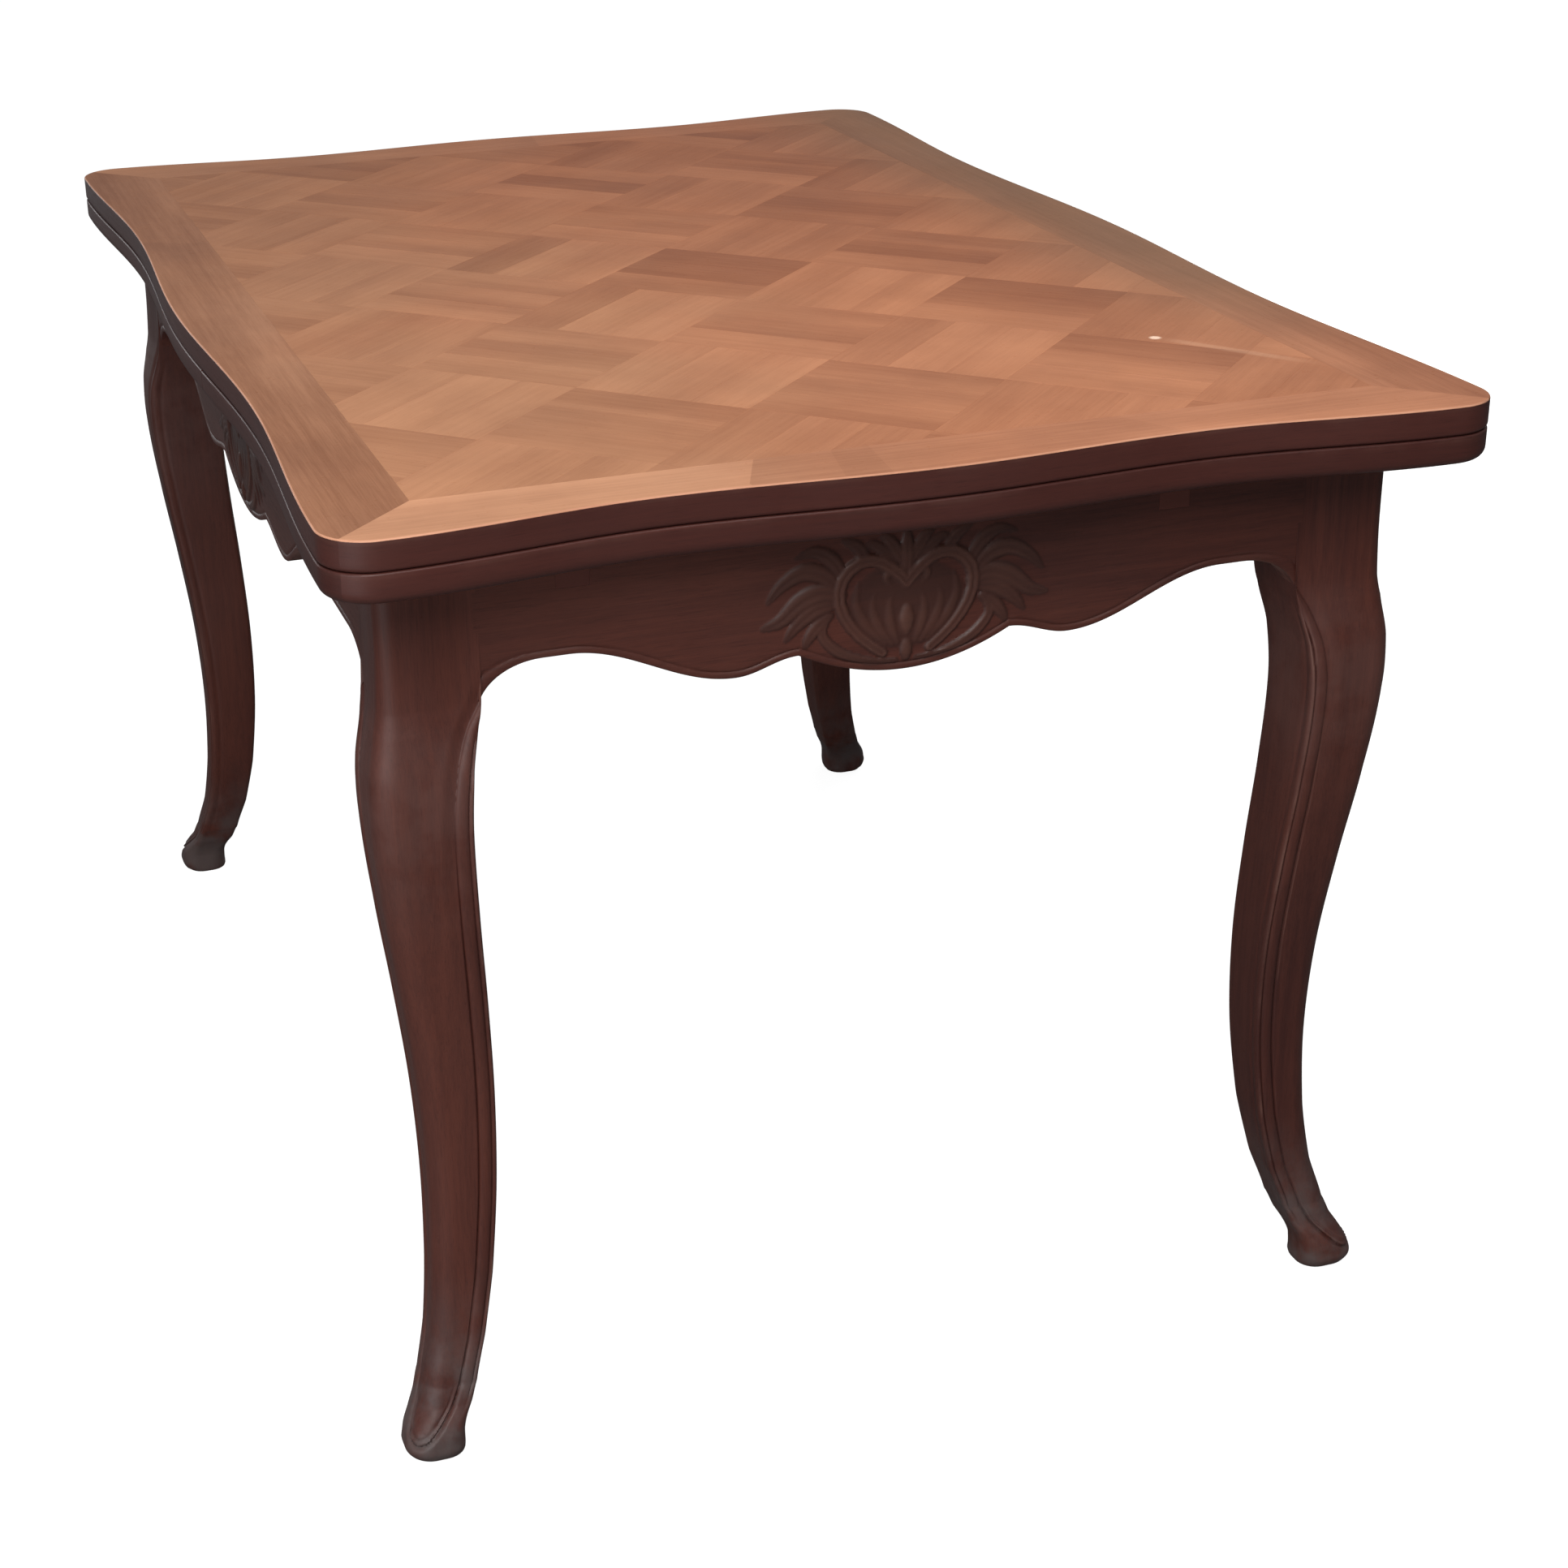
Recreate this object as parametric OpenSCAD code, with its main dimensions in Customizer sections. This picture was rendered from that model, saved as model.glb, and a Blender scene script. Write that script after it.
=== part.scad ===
// Extending table: a loose serpentine top over two draw leaves, on four cabriole legs.
// Origin on the floor under the middle of the top. X runs across, Y along the table, Z up.
// End A is the short end at -Y, end B the one at +Y; left is -X and right is +X.

/* [Table] */
// Height of the top's upper face above the floor
table_h = 755; // [720:5:790]
// Width of the closed top across the table
table_w = 850; // [800:10:950]
// Length of the closed top along the table
table_l = 1250; // [1200:10:1400]
// Radius of the top's rounded corners in plan
corner_r = 36; // [30:1:50]
// Depth of the two scoops in each short end
end_scoop = 18; // [8:1:24]
// How far the middle of each short end stays inside the corners
end_crown = 7; // [2:1:8]
// Depth of the two scoops in each long side
side_scoop = 12.5; // [6:0.5:18]
// How far the middle of each long side stays inside the corners
side_crown = 2; // [0.5:0.5:5]

/* [Top and leaves] */
// Thickness of the loose top with its veneer
top_t = 22; // [18:1:28]
// Thickness of each draw leaf with its veneer
leaf_t = 22; // [18:1:28]
// Thickness of the parquetry veneer
veneer_t = 2; // [1:0.5:3]
// Width of the solid edging round the cores
edging_w = 25; // [15:1:28]
// Width of the mitred banding at the corners
banding_w = 70; // [50:1:90]
// Width of the fixed centre board between the two leaves
board_w = 210; // [200:5:280]
// How far the loose top lifts on its guide pegs
top_lift = 25; // [20:1:30]

/* [Lopers] */
// Width of a loper
loper_w = 24; // [18:1:26]
// Height of a loper
loper_h = 34; // [28:1:38]
// Gap between a loper's tail and the far end apron
loper_tail_gap = 31; // [20:1:50]
// Distance between neighbouring lopers of the two leaves
loper_pitch = 36; // [32:1:42]

/* [Frame] */
// Distance of the end aprons' outer face from the end of the top
end_inset = 82; // [78:1:90]
// Distance of the side aprons' outer face from the side of the top
side_inset = 46; // [44:1:55]
// Thickness of the aprons
apron_t = 25; // [20:1:30]
// Depth of the aprons at the arches beside the legs
arch_h = 82; // [76:1:90]
// Depth of the aprons at the cusps beside the middle lobe
cusp_h = 107; // [100:1:112]
// Depth of the aprons at the side lobes and where they meet the legs
lobe_h = 117; // [113:1:122]
// Depth of the aprons at the middle lobe
centre_h = 128; // [123:1:135]
// Width of the curve that runs an apron's lower edge into a leg
spandrel_w = 44; // [30:1:50]
// Thickness of the two cross rails under the centre board
rail_t = 28; // [22:1:32]
// Depth of the cross rails
rail_h = 75; // [68:1:80]
// Distance of a cross rail's middle from the edge of the centre board
rail_edge = 35; // [33:1:45]

/* [Legs] */
// Distance of the legs' outer face from the side of the top
leg_inset_x = 43; // [38:1:44]
// Distance of the legs' outer face from the end of the top
leg_inset_y = 77; // [70:1:78]
// Width of the square post at the top of a leg
post_w = 71; // [64:1:80]
// Width of a leg across the knee
knee_w = 80; // [72:1:86]
// How far the knee stands out past the post
knee_out = 14; // [8:1:17]

/* [Joints and fixings] */
// Thickness of the apron tenons
tenon_t = 10; // [6:1:12]
// Height of the apron tenons
tenon_h = 60; // [45:1:64]
// Length of the apron tenons
tenon_l = 25; // [15:1:30]
// Length of the cross rails' tenons
rail_tenon_l = 12; // [8:1:16]
// Thickness of the cross rails' tenons
rail_tenon_t = 14; // [8:1:16]
// Height of the cross rails' tenons
rail_tenon_h = 50; // [35:1:56]
// How far a corner block reaches along each apron
block_wing = 48; // [42:1:55]
// Height of a corner block
block_h = 45; // [35:1:50]
// Diameter of the wooden guide pegs under the top
peg_d = 18; // [12:1:22]
// How far a guide peg still reaches below the centre board with the top lifted
peg_reach = 13; // [8:1:16]
// Distance of the guide pegs from the middle of the table
peg_x = 110; // [60:5:140]
// Diameter of the stop pegs in the lopers
stop_d = 8; // [6:1:10]
// Length of a stop peg
stop_len = 30; // [26:1:32]
// Diameter of a wood screw's shank
screw_d = 5; // [4:0.5:6]
// Diameter of a wood screw's head
screw_head_d = 10; // [8:0.5:11]
// Height of a wood screw's head
screw_head_h = 3; // [2:0.5:4]

/* [Hidden] */

// Clearances: glued joints, sliding lopers, the leaf above the frame, leaf to top, pegs in bores
joint_gap = 0.1;
loper_gap = 0.5;
leaf_lift_gap = 0.6;
leaf_top_gap = 0.4;
board_gap = 0.8;
peg_gap = 0.4;
block_to_loper = 7;
stop_gap = 0.5;
overrun = 5;

// Wood screws: length, depth of the head under the wood, bite of the leaf screws in the core
screw_len = 50;
block_screw_len = 35;
head_sink = 1;
leaf_screw_bite = 12;
board_screw_x_share = 0.82;
leaf_screw_shares = [0.10, 0.48, 0.86];

// How deep the guide pegs and stop pegs sit in their bores, and how far a tenon is from the edge
peg_seat = 10;
stop_drop = 10;
stop_slot_gap = 2;
tenon_top_gap = 12;
block_top_gap = 20;
block_screw_drop_shares = [0.35, 0.65];

// Heights of the layers
top_z = table_h - top_t;
leaf_z = top_z - leaf_top_gap - leaf_t;
board_z = leaf_z + leaf_top_gap;
frame_z = leaf_z - leaf_lift_gap;
leg_h = frame_z;
board_t = top_z - board_z;
peg_len = peg_seat + board_t + top_lift + peg_reach;

// Each leaf draws out by its own length at the corners
leaf_draw = (table_l - board_w) / 2;
rail_y = board_w / 2 - rail_edge;

// Faces of the frame, measured from the middle of the table
half_w = table_w / 2;
half_l = table_l / 2;
leg_out_x = half_w - leg_inset_x;
leg_out_y = half_l - leg_inset_y;
leg_in_x = leg_out_x - post_w;
leg_in_y = leg_out_y - post_w;
end_face_y = half_l - end_inset;
side_face_x = half_w - side_inset;
end_back_y = end_face_y - apron_t;
side_back_x = side_face_x - apron_t;

// Lopers: the outer one stands clear of the corner blocks, the inner one a pitch inside it.
// They run from the face of their own end apron to near the back of the far one.
loper_outer_x = leg_in_x - block_wing - block_to_loper - loper_w / 2;
loper_inner_x = loper_outer_x - loper_pitch;
loper_len = end_face_y + end_back_y - loper_tail_gap;
stop_y = leaf_draw - end_back_y + stop_d / 2 + stop_gap;

// Samples along curves
end_steps = 24;
side_steps = 32;
corner_steps = 8;
edge_steps = 8;
round_fn = 48;

// Lower edge of an apron: places of cusp, side lobe and arch as shares of its half span
end_edge_shares = [0.26, 0.41, 0.80];
side_edge_shares = [0.205, 0.355, 0.57];

// Leg stations from the sole up: share of the leg's height, outward place as a share of
// knee_out, width as a share of knee_w, and corner radius as a share of the width.
// The upper stations keep the inner faces straight, where the aprons meet them.
function post_station(h_share, out_share, r_share) =
    [h_share, out_share, (post_w + out_share * knee_out) / knee_w, r_share];
leg_station_shares = [
    [0.000, 1.45, 0.500, 0.30],
    [0.008, 1.70, 0.600, 0.30],
    [0.018, 1.70, 0.615, 0.28],
    [0.025, 1.38, 0.565, 0.26],
    [0.036, 1.38, 0.575, 0.25],
    [0.048, 1.05, 0.560, 0.24],
    [0.072, 0.35, 0.560, 0.23],
    [0.125, -0.38, 0.590, 0.22],
    [0.195, -0.88, 0.630, 0.21],
    [0.295, -1.08, 0.700, 0.20],
    [0.405, -0.82, 0.770, 0.19],
    [0.515, -0.27, 0.830, 0.18],
    [0.630, 0.43, 0.900, 0.17],
    [0.725, 1.00, 0.975, 0.15],
    post_station(0.785, 0.84, 0.10),
    post_station(0.828, 0.52, 0.07),
    post_station(0.890, 0.06, 0.04),
    post_station(0.940, 0.00, 0.03),
    post_station(1.000, 0.00, 0.03)
];
ridge_share = 0.14;
station_steps = 2;
corner_points = 5;

wood_dark = [0.27, 0.14, 0.12];
wood_inner = [0.62, 0.47, 0.32];
wood_light = [0.75, 0.53, 0.41];
wood_band = [0.70, 0.48, 0.37];
steel = [0.66, 0.66, 0.64];

// Smooth step from 0 to 1 and a curve through four rows of values
function ease(t) = (1 - cos(180 * t)) / 2;
function spline(a, b, c, d, t) =
    (2 * b + (c - a) * t + (2 * a - 5 * b + 4 * c - d) * t * t + (3 * b - a - 3 * c + d) * t * t * t) / 2;

// Inset of a serpentine side at s, from -1 at one corner to 1 at the other
function scoop(s, crown, depth) =
    abs(s) < 1/2 ? crown + (depth - crown) * ease(2 * abs(s))
                 : depth * (1 - ease(2 * min(abs(s), 1) - 1));

// Closed outline of the top, drawn in by inset
function outline(inset) =
    let (r = corner_r - inset, cx = half_w - corner_r, cy = half_l - corner_r)
    concat(
        [for (i = [1:side_steps - 1]) let (s = 2 * i / side_steps - 1)
            [half_w - inset - scoop(s, side_crown, side_scoop), s * cy]],
        arc(cx, cy, r, 0),
        [for (i = [1:end_steps - 1]) let (s = 1 - 2 * i / end_steps)
            [s * cx, half_l - inset - scoop(s, end_crown, end_scoop)]],
        arc(-cx, cy, r, 90),
        [for (i = [1:side_steps - 1]) let (s = 1 - 2 * i / side_steps)
            [-half_w + inset + scoop(s, side_crown, side_scoop), s * cy]],
        arc(-cx, -cy, r, 180),
        [for (i = [1:end_steps - 1]) let (s = 2 * i / end_steps - 1)
            [s * cx, -half_l + inset + scoop(s, end_crown, end_scoop)]],
        arc(cx, -cy, r, 270));
function arc(x, y, r, from) =
    [for (i = [0:corner_steps]) let (a = from + 90 * i / corner_steps) [x + r * cos(a), y + r * sin(a)]];

// Area on the -Y side of a leaf's inner edge, which repeats the end's curve
function leaf_area(grow) =
    let (reach = half_w + overrun, cx = half_w - corner_r, y0 = leaf_draw - half_l + grow)
    concat(
        [[reach, -half_l - overrun], [reach, y0]],
        [for (i = [0:end_steps]) let (s = 1 - 2 * i / end_steps)
            [s * cx, y0 + scoop(s, end_crown, end_scoop)]],
        [[-reach, y0], [-reach, -half_l - overrun]]);

module slab(points, z, t) {
    translate([0, 0, z]) linear_extrude(t) polygon(points);
}

// Quarter of the plan between the mitres, on end B when side is false, else on the right side
module mitre_quarter(depth, z, t, side) {
    x = half_w - depth;
    y = half_l - depth;
    far = depth + overrun;
    points = side ? [[x, -y], [x + far, -y - far], [x + far, y + far], [x, y]]
                  : [[-x, y + joint_gap], [x, y + joint_gap],
                     [x + far, y + far + joint_gap], [-x - far, y + far + joint_gap]];
    slab(points, z - overrun, t + 2 * overrun);
}

// Edging: a ring of four pieces mitred at the corners
module edging_piece(z, t, side) {
    intersection() {
        difference() {
            slab(outline(0), z, t);
            slab(outline(edging_w), z - overrun, t + 2 * overrun);
        }
        mitre_quarter(edging_w + end_scoop + side_scoop, z, t, side);
    }
}

// Banding: a veneer strip along one side, mitred at 45 degrees round the rectangular field
module banding_piece(z, side) {
    intersection() {
        slab(outline(0), z, veneer_t);
        mitre_quarter(banding_w, z, veneer_t, side);
    }
}

module field(z) {
    translate([-half_w + banding_w, -half_l + banding_w, z])
        cube([table_w - 2 * banding_w, table_l - 2 * banding_w, veneer_t]);
}

// The part of the plan that belongs to the leaf at end A
module cut_to_leaf(z, t) {
    intersection() {
        children();
        slab(leaf_area(0), z - overrun, t + 2 * overrun);
    }
}

// Legs: a loft of rounded squares through the stations, drawn in the +X +Y corner
function station(i) =
    leg_station_shares[max(0, min(len(leg_station_shares) - 1, i))];
function leg_rows() = concat(
    [for (i = [0:len(leg_station_shares) - 2]) for (k = [0:station_steps - 1])
        spline(station(i - 1), station(i), station(i + 1), station(i + 2), k / station_steps)],
    [station(len(leg_station_shares) - 1)]);
function leg_ring(row) =
    let (out = row[1] * knee_out, w = row[2] * knee_w, x = leg_out_x + out, y = leg_out_y + out)
    [for (c = [0:3]) for (k = [0:corner_points - 1])
        let (r = w * (row[3] + (c == 0 ? ridge_share : 0)),
             a = 90 * c + 90 * k / (corner_points - 1),
             px = c == 0 || c == 3 ? x - r : x - w + r,
             py = c < 2 ? y - r : y - w + r)
        [px + r * cos(a), py + r * sin(a), row[0] * leg_h]];

module leg_loft() {
    rows = leg_rows();
    n = 4 * corner_points;
    points = [for (row = rows) each leg_ring(row)];
    last = (len(rows) - 1) * n;
    sides = [for (i = [0:len(rows) - 2]) for (k = [0:n - 1])
        let (a = i * n + k, b = i * n + (k + 1) % n) each [[a, a + n, b], [b, a + n, b + n]]];
    sole = [for (k = [1:n - 2]) [0, k, k + 1]];
    head = [for (k = [1:n - 2]) [last, last + k + 1, last + k]];
    polyhedron(points = points, faces = concat(sides, sole, head));
}

// Tenon of an end apron (along X) and of a side apron (along Y), in the +X +Y corner
module end_tenon(gap) {
    translate([leg_in_x - overrun, end_face_y - (apron_t + tenon_t) / 2 - gap,
               frame_z - tenon_top_gap - tenon_h - gap])
        cube([tenon_l + overrun + gap, tenon_t + 2 * gap, tenon_h + 2 * gap]);
}

module side_tenon(gap) {
    translate([side_face_x - (apron_t + tenon_t) / 2 - gap, leg_in_y - overrun,
               frame_z - tenon_top_gap - tenon_h - gap])
        cube([tenon_t + 2 * gap, tenon_l + overrun + gap, tenon_h + 2 * gap]);
}

module leg(sx, sy) {
    color(wood_dark)
        mirror([sx < 0 ? 1 : 0, 0, 0]) mirror([0, sy < 0 ? 1 : 0, 0])
            difference() {
                leg_loft();
                end_tenon(joint_gap);
                side_tenon(joint_gap);
            }
}

// Depth of an apron below the frame's top at distance u from its middle
function edge_depth(u, span, shares) =
    let (cusp = shares[0] * span, lobe = shares[1] * span, arch = shares[2] * span,
         bend = span - spandrel_w)
    u < cusp ? centre_h - (centre_h - cusp_h) * pow(u / cusp, 2) :
    u < lobe ? cusp_h + (lobe_h - cusp_h) * ease((u - cusp) / (lobe - cusp)) :
    u < arch ? lobe_h + (arch_h - lobe_h) * ease((u - lobe) / (arch - lobe)) :
    u < bend ? arch_h :
    lobe_h - (lobe_h - arch_h) * sqrt(max(0, 1 - pow((u - bend) / spandrel_w, 2)));

// Places along half an apron where its edge is sampled
function edge_places(span, shares) =
    let (stops = [0, shares[0] * span, shares[1] * span, shares[2] * span, span - spandrel_w])
    concat(
        [for (j = [0:3]) for (i = [0:edge_steps - 1])
            stops[j] + (stops[j + 1] - stops[j]) * i / edge_steps],
        [for (i = [0:edge_steps]) span - spandrel_w + spandrel_w * sin(90 * i / edge_steps)]);

// An apron board standing in the XZ plane, its outer face at y = 0 and its back at +apron_t
module apron_board(span, shares) {
    places = edge_places(span, shares);
    last = len(places) - 1;
    points = concat(
        [[-span, 0]],
        [for (i = [0:last]) [-places[last - i], -edge_depth(places[last - i], span, shares)]],
        [for (i = [1:last]) [places[i], -edge_depth(places[i], span, shares)]],
        [[span, 0]]);
    translate([0, apron_t, frame_z]) rotate([90, 0, 0]) linear_extrude(apron_t) polygon(points);
}

// Screw along +Z with the underside of its head at 0, or the hole that takes it
module screw(length, gap) {
    union() {
        translate([0, 0, -screw_head_h - gap])
            cylinder(d = screw_head_d + 2 * gap, h = screw_head_h + gap, $fn = round_fn);
        translate([0, 0, -screw_head_h / 2])
            cylinder(d = screw_d + 2 * gap, h = length + screw_head_h / 2 + gap, $fn = round_fn);
    }
}

// Open end of a screw hole, from the head out through the surface of the wood
module screw_mouth(depth) {
    translate([0, 0, -screw_head_h - depth])
        cylinder(d = screw_head_d + 2 * joint_gap, h = depth + screw_head_h / 2, $fn = round_fn);
}

// Screws of a corner block in the +X +Y corner: one into each apron
module at_block_screws() {
    u = block_wing / 2;
    z = frame_z - block_top_gap - block_h;
    diagonal_x = side_back_x - leg_in_x + block_wing;
    diagonal_y = end_back_y - leg_in_y + block_wing;
    translate([leg_in_x - u, end_back_y - u * diagonal_y / diagonal_x + screw_head_h + head_sink,
               z + block_h * block_screw_drop_shares[0]])
        rotate([-90, 0, 0]) children();
    translate([side_back_x - u * diagonal_x / diagonal_y + screw_head_h + head_sink, leg_in_y - u,
               z + block_h * block_screw_drop_shares[1]])
        rotate([0, 90, 0]) children();
}

module end_apron(loper_places) {
    notch_w = loper_w + 2 * loper_gap;
    notch_h = loper_h - leaf_lift_gap + loper_gap;
    difference() {
        union() {
            translate([0, -end_face_y, 0]) apron_board(leg_in_x, end_edge_shares);
            for (sx = [0, 1]) mirror([sx, 0, 0]) mirror([0, 1, 0]) end_tenon(0);
        }
        for (x = loper_places)
            translate([x - notch_w / 2, -end_face_y - overrun, frame_z - notch_h])
                cube([notch_w, apron_t + 2 * overrun, notch_h + overrun]);
        for (sx = [0, 1]) mirror([sx, 0, 0]) mirror([0, 1, 0]) at_block_screws()
            screw(block_screw_len, joint_gap);
    }
}

module side_apron() {
    difference() {
        union() {
            translate([side_face_x, 0, 0]) rotate([0, 0, 90]) apron_board(leg_in_y, side_edge_shares);
            for (sy = [0, 1]) mirror([0, sy, 0]) side_tenon(0);
        }
        for (sy = [0, 1]) mirror([0, sy, 0]) {
            rail_tenon(joint_gap);
            at_block_screws() screw(block_screw_len, joint_gap);
        }
    }
}

// Tenon at the right-hand end of the cross rail at +Y
module rail_tenon(gap) {
    translate([side_back_x - overrun, rail_y - rail_tenon_t / 2 - gap,
               board_z - (rail_h + rail_tenon_h) / 2 - gap])
        cube([rail_tenon_l + overrun + gap, rail_tenon_t + 2 * gap, rail_tenon_h + 2 * gap]);
}

// Cross rail at -Y: its notches carry all four lopers, and its own leaf's have stop slots
module centre_rail() {
    notch_w = loper_w + 2 * loper_gap;
    slot_w = stop_d + 2 * stop_slot_gap;
    notch_z = leaf_z - loper_h - loper_gap;
    difference() {
        union() {
            translate([-side_back_x, -rail_y - rail_t / 2, board_z - rail_h])
                cube([2 * side_back_x, rail_t, rail_h]);
            for (sx = [0, 1]) mirror([sx, 0, 0]) mirror([0, 1, 0]) rail_tenon(0);
        }
        for (x = [-loper_outer_x, -loper_inner_x, loper_inner_x, loper_outer_x])
            translate([x - notch_w / 2, -rail_y - rail_t, notch_z])
                cube([notch_w, 2 * rail_t, board_z - notch_z + overrun]);
        for (x = [-loper_outer_x, loper_inner_x])
            translate([x - slot_w / 2, -rail_y - rail_t, notch_z - stop_drop - stop_slot_gap])
                cube([slot_w, 2 * rail_t, stop_drop + stop_slot_gap + overrun]);
        at_board_screws() screw(screw_len, joint_gap);
    }
}

module at_board_screws() {
    for (x = [-1, 0, 1]) for (y = [-rail_y, rail_y])
        translate([x * board_screw_x_share * side_back_x, y, top_z - head_sink - screw_head_h])
            mirror([0, 0, 1]) children();
}

module centre_board() {
    bore_d = peg_d + 2 * peg_gap;
    color(wood_inner) difference() {
        slab(outline(0), board_z, board_t);
        for (turn = [0, 180]) rotate([0, 0, turn])
            slab(leaf_area(board_gap), board_z - overrun, board_t + 2 * overrun);
        for (sx = [-1, 1]) translate([sx * peg_x, 0, board_z - overrun])
            cylinder(d = bore_d, h = board_t + 2 * overrun, $fn = round_fn);
        at_board_screws() {
            screw(screw_len, joint_gap);
            screw_mouth(head_sink + overrun);
        }
    }
}

module centre_board_screws() {
    color(steel) at_board_screws() screw(screw_len, 0);
}

module in_each_corner() {
    for (mx = [0, 1]) for (my = [0, 1]) mirror([mx, 0, 0]) mirror([0, my, 0]) children();
}

module corner_blocks() {
    points = [[leg_in_x - block_wing, end_back_y], [leg_in_x, end_back_y], [leg_in_x, leg_in_y],
              [side_back_x, leg_in_y], [side_back_x, leg_in_y - block_wing]];
    color(wood_inner) in_each_corner() difference() {
        slab(points, frame_z - block_top_gap - block_h, block_h);
        at_block_screws() {
            screw(block_screw_len, joint_gap);
            screw_mouth(block_wing);
        }
    }
}

module corner_block_screws() {
    color(steel) in_each_corner() at_block_screws() screw(block_screw_len, 0);
}

// Leaf at end A, with its two lopers at loper_outer_x on the left and loper_inner_x on the right
function loper_places() = [-loper_outer_x, loper_inner_x];

module at_leaf_screws(x) {
    seat_z = leaf_z + leaf_screw_bite - screw_len;
    span = leaf_draw - end_inset;
    for (share = leaf_screw_shares)
        translate([x, -end_face_y + share * span, seat_z]) children();
}

module leaf_core() {
    core_t = leaf_t - veneer_t;
    color(wood_inner) difference() {
        cut_to_leaf(leaf_z, core_t) slab(outline(edging_w), leaf_z, core_t);
        for (x = loper_places()) at_leaf_screws(x) screw(screw_len, joint_gap);
    }
}

module leaf_edging() {
    core_t = leaf_t - veneer_t;
    color(wood_dark) {
        rotate([0, 0, 180]) edging_piece(leaf_z, core_t, false);
        for (turn = [0, 180])
            cut_to_leaf(leaf_z, core_t) rotate([0, 0, turn]) edging_piece(leaf_z, core_t, true);
    }
}

module leaf_banding() {
    z = leaf_z + leaf_t - veneer_t;
    color(wood_band) {
        rotate([0, 0, 180]) banding_piece(z, false);
        for (turn = [0, 180])
            cut_to_leaf(z, veneer_t) rotate([0, 0, turn]) banding_piece(z, true);
    }
}

module leaf_field() {
    z = leaf_z + leaf_t - veneer_t;
    color(wood_light) cut_to_leaf(z, veneer_t) field(z);
}

module loper(x) {
    color(wood_inner) difference() {
        translate([x - loper_w / 2, -end_face_y, leaf_z - loper_h])
            cube([loper_w, loper_len, loper_h]);
        at_leaf_screws(x) {
            screw(screw_len, joint_gap);
            screw_mouth(overrun);
        }
        translate([x, stop_y, leaf_z - loper_h - overrun])
            cylinder(d = stop_d + 2 * joint_gap, h = stop_len - stop_drop + overrun + joint_gap,
                     $fn = round_fn);
    }
}

module stop_pegs() {
    color(wood_inner) for (x = loper_places())
        translate([x, stop_y, leaf_z - loper_h - stop_drop])
            cylinder(d = stop_d, h = stop_len, $fn = round_fn);
}

module leaf_screws() {
    color(steel) for (x = loper_places()) at_leaf_screws(x) screw(screw_len, 0);
}

module turned() {
    rotate([0, 0, 180]) children();
}

// Loose top
module top_core() {
    color(wood_inner) difference() {
        slab(outline(edging_w), top_z, top_t - veneer_t);
        for (sx = [-1, 1]) translate([sx * peg_x, 0, top_z - overrun])
            cylinder(d = peg_d + 2 * joint_gap, h = peg_seat + overrun + joint_gap, $fn = round_fn);
    }
}

module top_edging() {
    color(wood_dark) for (turn = [0, 180], side = [false, true])
        rotate([0, 0, turn]) edging_piece(top_z, top_t - veneer_t, side);
}

module top_banding() {
    color(wood_band) for (turn = [0, 180], side = [false, true])
        rotate([0, 0, turn]) banding_piece(table_h - veneer_t, side);
}

module top_field() {
    color(wood_light) field(table_h - veneer_t);
}

module guide_pegs() {
    color(wood_inner) for (sx = [-1, 1]) translate([sx * peg_x, 0, top_z + peg_seat - peg_len])
        cylinder(d = peg_d, h = peg_len, $fn = round_fn);
}

leg(-1, -1);  // leg_a_left
leg(1, -1);  // leg_a_right
leg(-1, 1);  // leg_b_left
leg(1, 1);  // leg_b_right
color(wood_dark) end_apron(loper_places());  // end_apron_a
color(wood_dark) turned() end_apron(loper_places());  // end_apron_b
color(wood_dark) turned() side_apron();  // side_apron_left
color(wood_dark) side_apron();  // side_apron_right
color(wood_inner) centre_rail();  // centre_rail_a
color(wood_inner) turned() centre_rail();  // centre_rail_b
centre_board();
centre_board_screws();
corner_blocks();
corner_block_screws();
leaf_core();  // leaf_a_core
leaf_edging();  // leaf_a_edging
leaf_banding();  // leaf_a_banding
leaf_field();  // leaf_a_field
loper(-loper_outer_x);  // leaf_a_loper_left
loper(loper_inner_x);  // leaf_a_loper_right
stop_pegs();  // leaf_a_stop_pegs
leaf_screws();  // leaf_a_screws
turned() leaf_core();  // leaf_b_core
turned() leaf_edging();  // leaf_b_edging
turned() leaf_banding();  // leaf_b_banding
turned() leaf_field();  // leaf_b_field
turned() loper(loper_inner_x);  // leaf_b_loper_left
turned() loper(-loper_outer_x);  // leaf_b_loper_right
turned() stop_pegs();  // leaf_b_stop_pegs
turned() leaf_screws();  // leaf_b_screws
top_core();
top_edging();
top_banding();
top_field();
guide_pegs();
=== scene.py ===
"""Looks of an extending table: a parquetry top over two draw leaves, on four cabriole legs.

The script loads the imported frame, builds the surfaces that show and gives every part its finish.
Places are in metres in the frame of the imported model: X across, Y along, Z up from the floor.
End A is the short end at -Y, end B the one at +Y; left is -X and right is +X.
"""

from __future__ import annotations

import logging
import math
from dataclasses import dataclass, field, replace
from enum import Enum
from functools import cache
from typing import Optional, Sequence

import bmesh
import bpy
import numpy as np
from mathutils import Matrix, Vector

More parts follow.
